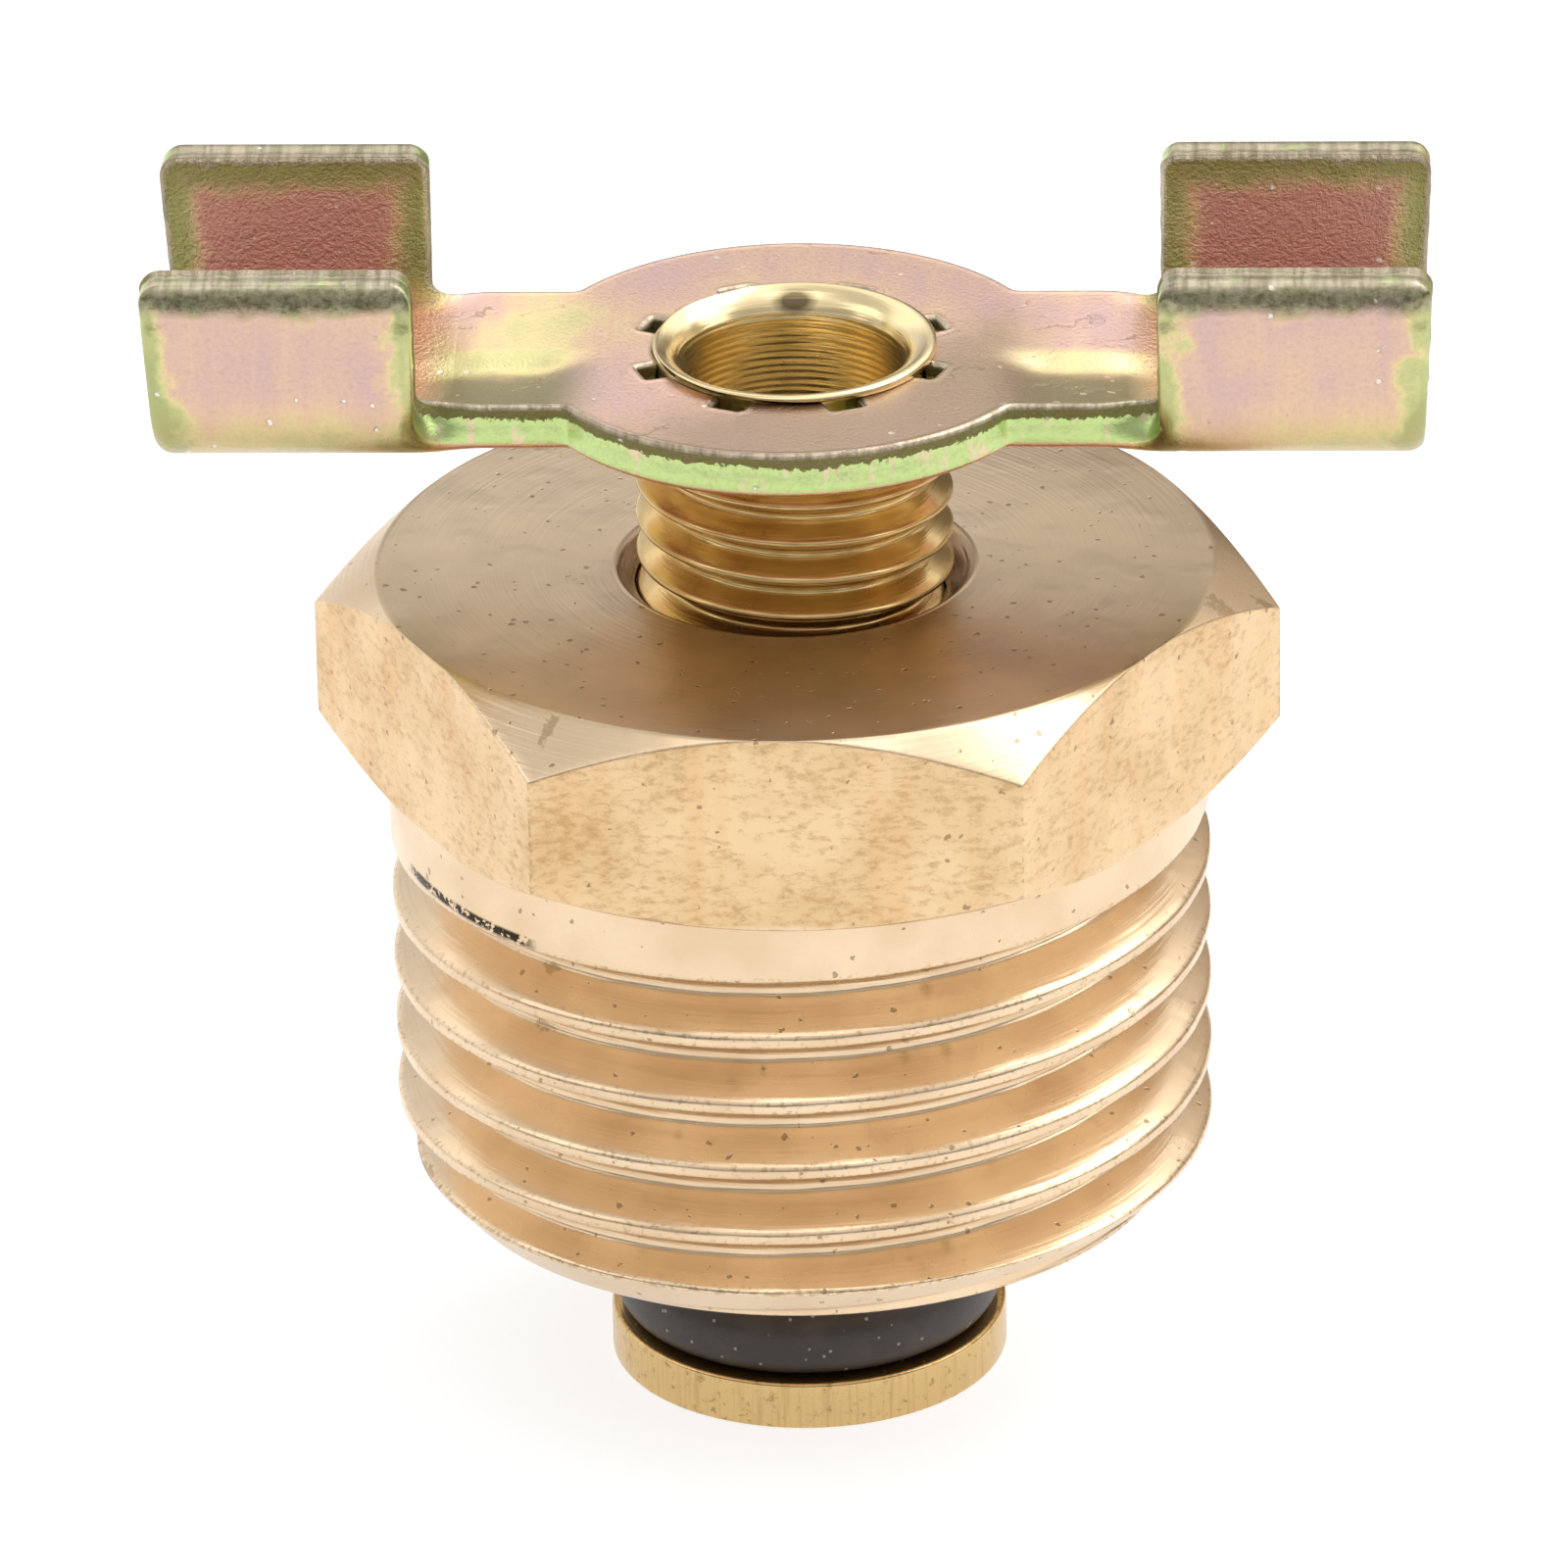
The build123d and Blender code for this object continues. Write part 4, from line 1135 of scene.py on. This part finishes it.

# %% [markdown]
# Inside the wings the film is redder in the middle and greener along the rims, and it is painted darker under
# the crowns, a painted shade. The front half of each arm is olive film, painted darker as partly painted
# shade, and the disc is painted darker towards its front and right, a painted shade.

# %% Zinc plate: tints and painted shade inside the wings, in the folds, on the arms and on the disc
# Painted shade: the inner faces of the wings are painted browner and darker under the crowns.
painted_shade_under_crown = add_node(tree, "ShaderNodeMapRange", {0: to_crown, 1: 0.25, 2: 1.3, 3: 0.8, 4: 0.0})
reddened = add_node(tree, "ShaderNodeMapRange", {0: rim, 1: 0.1, 2: 0.8, 3: 0.8, 4: 0.0})
greened = add_node(tree, "ShaderNodeMapRange", {0: rim, 1: 0.3, 2: 0.8, 4: 0.65})
painted_shade_under_crown, reddened, greened, inner_bend = [
    add_node(tree, "ShaderNodeMath", {0: share, 1: inside_wing}, operation="MULTIPLY")
    for share in (painted_shade_under_crown, reddened, greened, in_bend)
]
outer_bend = add_node(tree, "ShaderNodeMath", {0: in_bend, 1: outside_wing}, operation="MULTIPLY")
crease_tone = add_node(tree, "ShaderNodeMath", {0: crease_band, 1: 1.6}, operation="MULTIPLY")
crease_tone = add_node(tree, "ShaderNodeMath", {0: crease_tone, 1: off_wing}, operation="MULTIPLY")
# The front half of each arm is olive film, painted darker where it tilts back: partly painted shade.
front_half = add_node(tree, "ShaderNodeMath", {0: wander, 1: 0.5, 2: signed_y}, operation="MULTIPLY_ADD")
front_half = add_node(tree, "ShaderNodeMapRange", {0: front_half, 1: -1.4, 2: -0.5, 3: 0.85, 4: 0.0},
                      interpolation_type="SMOOTHSTEP")
for region in (on_arm, off_wing, on_top):
    front_half = add_node(tree, "ShaderNodeMath", {0: front_half, 1: region}, operation="MULTIPLY")
# The disc is painted darker towards its front and right: painted shade.
painted_shade_front_right = add_node(tree, "ShaderNodeVectorMath", {0: blank, 1: (0.6, -0.8, 0.0)}, operation="DOT_PRODUCT")
painted_shade_front_right = add_node(tree, "ShaderNodeMath", {0: wander, 1: 0.8, 2: painted_shade_front_right.outputs["Value"]},
                   operation="MULTIPLY_ADD")
painted_shade_front_right = add_node(tree, "ShaderNodeMapRange", {0: painted_shade_front_right, 1: 0.2, 2: 3.4, 3: 0.1, 4: 0.9},
                   interpolation_type="SMOOTHSTEP")
for region in (on_disc, on_top):
    painted_shade_front_right = add_node(tree, "ShaderNodeMath", {0: painted_shade_front_right, 1: region}, operation="MULTIPLY")
print("with tints:", len(tree.nodes), "nodes")

# %% Zinc plate: dull grain, chips and scratches
dull_share = add_node(tree, "ShaderNodeMapRange", {0: side, 1: -1.0, 2: 0.9, 3: 0.2, 4: 0.45})
dull = add_node(tree, "ShaderNodeMapRange", {0: grain, 1: 0.46, 2: 0.68})
dull = add_node(tree, "ShaderNodeMath", {0: dull, 1: dull_share}, operation="MULTIPLY")
brighter_arm = add_node(tree, "ShaderNodeMapRange", {0: bare_arm, 3: 1.0, 4: 0.3})
dull = add_node(tree, "ShaderNodeMath", {0: dull, 1: brighter_arm}, operation="MULTIPLY")

chips = add_node(tree, "ShaderNodeTexVoronoi", {"Vector": blank, "Scale": 1.5})
chip_size = add_node(tree, "ShaderNodeSeparateColor", {0: chips.outputs["Color"]})
chip_size = add_node(tree, "ShaderNodeMapRange", {0: chip_size, 1: 0.3, 2: 1.0, 3: 0.0, 4: 0.14})
chips = add_node(tree, "ShaderNodeMath", {0: grain, 1: -0.3, 2: chips.outputs["Distance"]},
                 operation="MULTIPLY_ADD")
chips = add_node(tree, "ShaderNodeMath", {0: chip_size, 1: chips}, operation="SUBTRACT")
chips = add_node(tree, "ShaderNodeMapRange", {0: chips, 1: 0.14, 2: 0.18, 4: 0.8})

bent_place = add_node(tree, "ShaderNodeVectorMath", {0: patch.outputs["Color"], 1: (1.6, 1.6, 0.0), 2: blank},
                      operation="MULTIPLY_ADD")
scratch_place = add_node(tree, "ShaderNodeMapping", {"Vector": bent_place, "Rotation": (0, 0, radians(28)),
                                                     "Scale": (2.2, 0.12, 1.0)}, vector_type="TEXTURE")
scratches = add_node(tree, "ShaderNodeTexNoise", {"Vector": scratch_place, "Scale": 1.0, "Detail": 3.0})
scratches = add_node(tree, "ShaderNodeMapRange", {0: scratches, 1: 0.65, 2: 0.69, 4: 0.45})
scratches = add_node(tree, "ShaderNodeMath", {0: scratches, 1: on_top}, operation="MULTIPLY")
print("with chips and scratches:", len(tree.nodes), "nodes")

# %% Zinc plate: its colours, laid one over another
colour = film_colour.outputs[0]
for share, tint, blend in (
    (on_cut, cut_colour, "MIX"),
    (grimy, grime_colour, "MIX"),
    (painted_shade_under_crown, linear("#84744A"), "MIX"),
    (reddened, linear("#C88A7E"), "MIX"),
    (greened, linear("#9A9C5C"), "MIX"),
    (inner_bend, linear("#F2B478"), "MIX"),
    (crease_tone, linear("#D2CB92"), "MIX"),
    (front_half, linear("#A7A47C"), "MIX"),
    (painted_shade_front_right, linear("#B39A84"), "MIX"),
    (outside_wing, linear("#E6E7E6"), "MULTIPLY"),
    (outer_bend, linear("#A98C58"), "MIX"),
    (worn, rubbed_colour, "MIX"),
    (dull, linear("#A8907C"), "MIX"),
    (chips, linear("#F0E6DA"), "MIX"),
    (scratches, linear("#8F7F6E"), "MIX"),
):
    colour = add_node(tree, "ShaderNodeMix", {0: share, 6: colour, 7: tint}, data_type="RGBA",
                      blend_type=blend).outputs[2]
tree.links.new(colour, surface.inputs["Base Color"])
print("with colours:", len(tree.nodes), "nodes")

# %% Zinc plate: gloss and relief
surface.inputs["Metallic"].default_value = 1.0
torn_cut = add_node(tree, "ShaderNodeMath", {0: torn, 1: on_cut}, operation="MULTIPLY")
rough = add_node(tree, "ShaderNodeMapRange", {0: grain, 1: 0.3, 2: 0.7, 3: 0.26, 4: 0.38})
rough = add_node(tree, "ShaderNodeMath", {0: torn_cut, 1: 0.2, 2: rough}, operation="MULTIPLY_ADD")
tree.links.new(rough.outputs[0], surface.inputs["Roughness"])
grain_depth = add_node(tree, "ShaderNodeMath", {0: torn_cut, 1: 5.0, 2: 1.0}, operation="MULTIPLY_ADD")
grain_depth = add_node(tree, "ShaderNodeMath", {0: inside_wing, 1: 3.5, 2: grain_depth},
                       operation="MULTIPLY_ADD")
height = add_node(tree, "ShaderNodeMath", {0: grain, 1: grain_depth}, operation="MULTIPLY")
leathery = add_node(tree, "ShaderNodeMath", {0: inside_wing, 1: ragged}, operation="MULTIPLY")
for mark, depth in ((chips, -1.5), (scratches, -1.5), (leathery, 7.0)):
    height = add_node(tree, "ShaderNodeMath", {0: mark, 1: depth, 2: height}, operation="MULTIPLY_ADD")
relief = add_node(tree, "ShaderNodeBump", {"Height": height, "Distance": 0.014 * mm})
tree.links.new(relief.outputs[0], surface.inputs["Normal"])
print("yellow zinc plate:", len(tree.nodes), "nodes")

# %% [markdown]
# ## Folding the handle
# A press folds the blank. The wings' sides turn up round a bend, and the bend starts a little before the
# wing, so the arm's edges curl up towards it. The tool also leaves a crease along each arm, with its back
# half nearly flat and its front half rising again. Every point moves by a rule of where it lay in the flat
# blank, so this is a tree too.

# %% The fold tree: the wings' sides
fold_sheet = start_tree("fold_sheet", ("Flat Half Width", "Bend Radius", "Bend From", "Bend To", "Wing Drop",
                                       "Crease Depth", "Crease From", "Crease Full", "Crease Middle",
                                       "Crease Width", "Arm Half Width"))
given = add_node(fold_sheet, "NodeGroupInput").outputs
position = add_node(fold_sheet, "GeometryNodeInputPosition")
x, y, z = add_node(fold_sheet, "ShaderNodeSeparateXYZ", {0: position}).outputs
along = add_node(fold_sheet, "ShaderNodeMath", {0: x}, operation="ABSOLUTE")
across = add_node(fold_sheet, "ShaderNodeMath", {0: y}, operation="ABSOLUTE")
unfolded = 0.001  # not zero, as the radius is divided by it
folded = add_node(fold_sheet, "ShaderNodeMapRange", {0: along, 1: given["Bend From"], 2: given["Bend To"],
                                                     3: unfolded, 4: 1.0}, interpolation_type="SMOOTHSTEP")
radius = add_node(fold_sheet, "ShaderNodeMath", {0: given["Bend Radius"], 1: folded}, operation="DIVIDE")
past_flat = add_node(fold_sheet, "ShaderNodeMath", {0: across, 1: given["Flat Half Width"]},
                     operation="SUBTRACT")
past_flat = add_node(fold_sheet, "ShaderNodeMath", {0: past_flat, 1: 0.0}, operation="MAXIMUM")
arc_length = add_node(fold_sheet, "ShaderNodeMath", {0: given["Bend Radius"], 1: pi / 2},
                      operation="MULTIPLY")
in_arc = add_node(fold_sheet, "ShaderNodeMath", {0: past_flat, 1: arc_length}, operation="MINIMUM")
past_arc = add_node(fold_sheet, "ShaderNodeMath", {0: past_flat, 1: in_arc}, operation="SUBTRACT")
angle = add_node(fold_sheet, "ShaderNodeMath", {0: in_arc, 1: radius}, operation="DIVIDE")
sine = add_node(fold_sheet, "ShaderNodeMath", {0: angle}, operation="SINE")
cosine = add_node(fold_sheet, "ShaderNodeMath", {0: angle}, operation="COSINE")

out = add_node(fold_sheet, "ShaderNodeMath", {0: across, 1: given["Flat Half Width"]}, operation="MINIMUM")
inner_radius = add_node(fold_sheet, "ShaderNodeMath", {0: radius, 1: z}, operation="SUBTRACT")
out = add_node(fold_sheet, "ShaderNodeMath", {0: inner_radius, 1: sine, 2: out}, operation="MULTIPLY_ADD")
out = add_node(fold_sheet, "ShaderNodeMath", {0: past_arc, 1: cosine, 2: out}, operation="MULTIPLY_ADD")
up = add_node(fold_sheet, "ShaderNodeMath", {0: inner_radius, 1: cosine}, operation="MULTIPLY")
up = add_node(fold_sheet, "ShaderNodeMath", {0: radius, 1: up}, operation="SUBTRACT")
up = add_node(fold_sheet, "ShaderNodeMath", {0: past_arc, 1: sine, 2: up}, operation="MULTIPLY_ADD")
print("bends:", len(fold_sheet.nodes), "nodes")

# %% The fold tree: the crease along each arm
back_slope = 0.4
softness = 0.15
crease_back = add_node(fold_sheet, "ShaderNodeMath", {0: given["Crease Middle"], 1: given["Crease Width"]},
                       operation="ADD")
back = add_node(fold_sheet, "ShaderNodeMapRange", {0: y, 1: crease_back, 2: given["Crease Middle"], 3: 0.0,
                                                   4: 1.0}, interpolation_type="SMOOTHSTEP")
front_edge = add_node(fold_sheet, "ShaderNodeMath", {0: given["Arm Half Width"], 1: -1.0},
                      operation="MULTIPLY")
front = add_node(fold_sheet, "ShaderNodeMapRange", {0: y, 1: front_edge, 2: given["Crease Middle"], 3: 0.0,
                                                    4: 1.0})
lean = add_node(fold_sheet, "ShaderNodeMapRange", {0: y, 1: given["Arm Half Width"], 2: crease_back, 3: 0.0,
                                                   4: back_slope})
back = add_node(fold_sheet, "ShaderNodeMapRange", {0: back, 3: lean, 4: 1.0})
crease = add_node(fold_sheet, "ShaderNodeMath", {0: back, 1: front, 2: softness}, operation="SMOOTH_MIN")
growth = add_node(fold_sheet, "ShaderNodeMapRange", {0: along, 1: given["Crease From"],
                                                     2: given["Crease Full"], 3: 0.0,
                                                     4: given["Crease Depth"]},
                  interpolation_type="SMOOTHSTEP")
crease = add_node(fold_sheet, "ShaderNodeMath", {0: crease, 1: growth}, operation="MULTIPLY")
print("with the crease:", len(fold_sheet.nodes), "nodes")

# %% The fold tree: where each point goes
drop = add_node(fold_sheet, "ShaderNodeMath", {0: folded, 1: given["Wing Drop"]}, operation="MULTIPLY")
up = add_node(fold_sheet, "ShaderNodeMath", {0: up, 1: crease}, operation="SUBTRACT")
up = add_node(fold_sheet, "ShaderNodeMath", {0: up, 1: drop}, operation="SUBTRACT")
front_or_back = add_node(fold_sheet, "ShaderNodeMath", {0: y}, operation="SIGN")
out = add_node(fold_sheet, "ShaderNodeMath", {0: out, 1: front_or_back}, operation="MULTIPLY")
new_place = add_node(fold_sheet, "ShaderNodeCombineXYZ", {0: x, 1: out, 2: up})
moved = add_node(fold_sheet, "GeometryNodeSetPosition",
                 {"Geometry": given["Geometry"], "Position": new_place})
end_tree(fold_sheet, moved, given["Material"])

# %% Fold the handle and set it on the stem
apply_tree(handle, fold_sheet, {
    "Flat Half Width": flat_half_width * mm,
    "Bend Radius": bend_radius * mm,
    "Bend From": 7.6 * mm,
    "Bend To": 9.4 * mm,
    "Wing Drop": (shoulder - wing_floor) * mm,
    "Crease Depth": 0.4 * mm,
    "Crease From": 4.7 * mm,
    "Crease Full": 6.4 * mm,
    "Crease Middle": -0.7 * mm,
    "Crease Width": 0.8 * mm,
    "Arm Half Width": arm_half_width * mm,
    "Material": zinc_plate,
})
sheet_middle = shoulder + sheet_thickness / 2
handle.data.transform(Matrix.Translation((0, 0, sheet_middle * mm)) @ Matrix.Rotation(handle_turn, 4, "Z"))
merge_and_turn_out(handle)
print("handle:", triangle_count(handle), "triangles")

# %% [markdown]
# ## Riding on the imported bodies
# Each piece rides on the body that it moves with, and stands for one CAD node. The handle is staked to the
# stem, so the two turn and climb together, and the ring keeps with the stem without turning.

# %% Ride and replace
for piece, carrier, node, finish in (
    (body, "root", "valve_body", "turned_brass"),
    (spindle, "spindle", "stem", "stem_brass"),
    (seal_ring, "seal", "o_ring", "seal_rubber"),
    (handle, "spindle", "wing_handle", "zinc_plated_steel"),
):
    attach(piece, carrier)
    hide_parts(node)
    print(piece.name, "rides on", carrier, "and stands for", node)

# %% [markdown]
# ## Camera
# The photograph was taken with a long lens from a little over 25 degrees above the table. The lens, the
# distance and the height follow from the known sizes of the hexagon and the two threads.

# %% Camera
camera_elevation = radians(25.6)
camera_roll = radians(-1.1)
camera_distance = 386.7
camera_side = 0.464
camera_rise = -3.507
camera_target_height = 11.854
camera_data = bpy.data.cameras.new("camera")
camera_data.sensor_width = 36
camera_data.lens = 350.4
camera_data.clip_start = 0.01
camera_data.clip_end = 10
camera = bpy.data.objects.new("camera", camera_data)
scene.collection.objects.link(camera)
scene.camera = camera
aim = Matrix.Rotation(pi / 2 - camera_elevation, 4, "X") @ Matrix.Rotation(camera_roll, 4, "Z")
offset = aim @ Vector((-camera_side, -camera_rise, camera_distance))
camera.matrix_world = Matrix.Translation((Vector((0, 0, camera_target_height)) + offset) * mm) @ aim
print("camera at mm:", [round(value / mm, 1) for value in camera.location])

# %% [markdown]
# ## Light and floor
# Polished metal shows what is around it, so the light is a picture of a small studio: a bright ceiling with
# one shaded patch, darker walls near the table with a pale one on the left, four soft boxes and a plain
# white table.

# %% The studio around the object
world = bpy.data.worlds.new("studio")
scene.world = world
world.use_nodes = True
sky = world.node_tree
direction = add_node(sky, "ShaderNodeTexCoord").outputs["Generated"]
upward = add_node(sky, "ShaderNodeSeparateXYZ", {0: direction}).outputs[2]
walls = add_node(sky, "ShaderNodeValToRGB", {0: upward})
# Each stop is how far up the light comes from, with 1 straight above, and its brightness.
heights = ((0.0, 0.2), (0.2, 0.24), (0.43, 0.62), (0.68, 1.0), (1.0, 1.05))
for place, _ in heights[1:-1]:
    walls.color_ramp.elements.new(place)
for stop, (place, brightness) in zip(walls.color_ramp.elements, heights):
    stop.position = place
    stop.color = (brightness, brightness, brightness, 1)
shade = add_node(sky, "ShaderNodeVectorMath", {0: direction, 1: (-0.4, 0.25, 0.88)}, operation="DOT_PRODUCT")
shade = add_node(sky, "ShaderNodeMapRange", {0: shade.outputs["Value"], 1: 0.88, 2: 0.98, 3: 1.0, 4: 0.7},
                 interpolation_type="SMOOTHSTEP")
left_wall = add_node(sky, "ShaderNodeVectorMath", {0: direction, 1: (-0.8, 0.6, 0.0)},
                     operation="DOT_PRODUCT")
left_wall = add_node(sky, "ShaderNodeMapRange", {0: left_wall.outputs["Value"], 1: 0.58, 2: 0.92, 3: 0.0,
                                                 4: 0.95}, interpolation_type="SMOOTHSTEP")
studio_light = add_node(sky, "ShaderNodeMath", {0: walls.outputs[0], 1: shade}, operation="MULTIPLY")
studio_light = add_node(sky, "ShaderNodeMath", {0: studio_light, 1: left_wall}, operation="MAXIMUM")
sky.links.new(studio_light.outputs[0], sky.nodes["Background"].inputs["Color"])
print("studio:", len(sky.nodes), "nodes")

# %% The soft boxes
aim_point = Vector((0, 0, 15 * mm))
# Each box has a direction in degrees, a distance and a size in metres, and a brightness.
for name, azimuth, elevation, distance, width, height, brightness in (
    ("key", 38, 50, 0.6, 0.46, 0.4, 3.4),
    ("top", -100, 80, 0.6, 0.3, 0.3, 1.2),
    ("right", -6, 30, 0.7, 0.4, 0.4, 1.8),
    ("left", 186, 34, 0.7, 0.4, 0.4, 0.9),
):
    light = bpy.data.lights.new(name, "AREA")
    light.shape = "RECTANGLE"
    light.size, light.size_y = width, height
    light.energy = brightness * width * height * pi
    lamp = bpy.data.objects.new(name, light)
    scene.collection.objects.link(lamp)
    azimuth, elevation = radians(azimuth), radians(elevation)
    towards = Vector((cos(azimuth) * cos(elevation), sin(azimuth) * cos(elevation), sin(elevation)))
    turned = towards.to_track_quat("Z", "Y").to_matrix().to_4x4()
    lamp.matrix_world = Matrix.Translation(aim_point + towards * distance) @ turned
    print(name, "soft box:", round(light.energy, 2), "W")

# %% [markdown]
# Cards stand behind the object, as in a product photographer's set. Only reflections show them: the dark ones
# give the body's top its brown, and the pale ones keep the handle bright.

# %% Cards that only the metal sees
# Each card has its left, right, low and high edges and its distance back, in millimetres.
for name, left, right, low, high, back, hex_colour, strength in (
    ("dark_card", 8, 34, 0, 46, 58, "#7A6C5C", 1.0),
    ("side_card", 34, 140, 0, 52, 57, "#BDB0A0", 1.0),
    ("brown_card", 5, 140, 46, 53, 60, "#5E4C36", 1.0),
    ("pale_card", -5, 5, 55.5, 110, 62, "#FFFDFA", 1.2),
    ("left_card", -150, -5, 55.5, 110, 62, "#FFFDFA", 1.5),
    ("right_card", 5, 150, 57, 110, 62, "#FFFDFA", 1.5),
):
    card_mesh = bpy.data.meshes.new(name)
    corners = [(left, back, low), (right, back, low), (right, back, high), (left, back, high)]
    card_mesh.from_pydata([Vector(corner) * mm for corner in corners], [], [(0, 1, 2, 3)])
    card = bpy.data.objects.new(name, card_mesh)
    scene.collection.objects.link(card)
    card.visible_camera = card.visible_diffuse = card.visible_shadow = False
    card_material, tree, surface = start_material(name)
    surface.inputs["Base Color"].default_value = (0, 0, 0, 1)
    surface.inputs["Specular IOR Level"].default_value = 0.0
    surface.inputs["Emission Color"].default_value = linear(hex_colour)
    surface.inputs["Emission Strength"].default_value = strength
    card_mesh.materials.append(card_material)
    print(name, right - left, "by", high - low, "mm")

# %% [markdown]
# The table glows a little in what the camera and the metal see. That makes it white without more light on the
# object, and it still takes the object's shadow.

# %% The floor
floor_mesh = bpy.data.meshes.new("floor")
floor_mesh.from_pydata([(-3, -3, 0), (3, -3, 0), (3, 3, 0), (-3, 3, 0)], [], [(0, 1, 2, 3)])
floor = bpy.data.objects.new("floor", floor_mesh)
scene.collection.objects.link(floor)
white_table, tree, surface = start_material("white_table")
surface.inputs["Base Color"].default_value = linear("#ABABAB")
surface.inputs["Roughness"].default_value = 0.9
surface.inputs["Specular IOR Level"].default_value = 0.0
surface.inputs["Emission Color"].default_value = linear("#FFFFFF")
ray = add_node(tree, "ShaderNodeLightPath").outputs
glow = add_node(tree, "ShaderNodeMath", {0: ray["Is Camera Ray"], 1: ray["Is Glossy Ray"]},
                operation="MAXIMUM")
glow = add_node(tree, "ShaderNodeMath", {0: glow, 1: ray["Is Transmission Ray"]}, operation="MAXIMUM")
glow = add_node(tree, "ShaderNodeMath", {0: glow, 1: 0.72}, operation="MULTIPLY")
tree.links.new(glow.outputs[0], surface.inputs["Emission Strength"])
floor_mesh.materials.append(white_table)
scene.view_settings.view_transform = "Standard"
print("floor:", len(tree.nodes), "nodes")
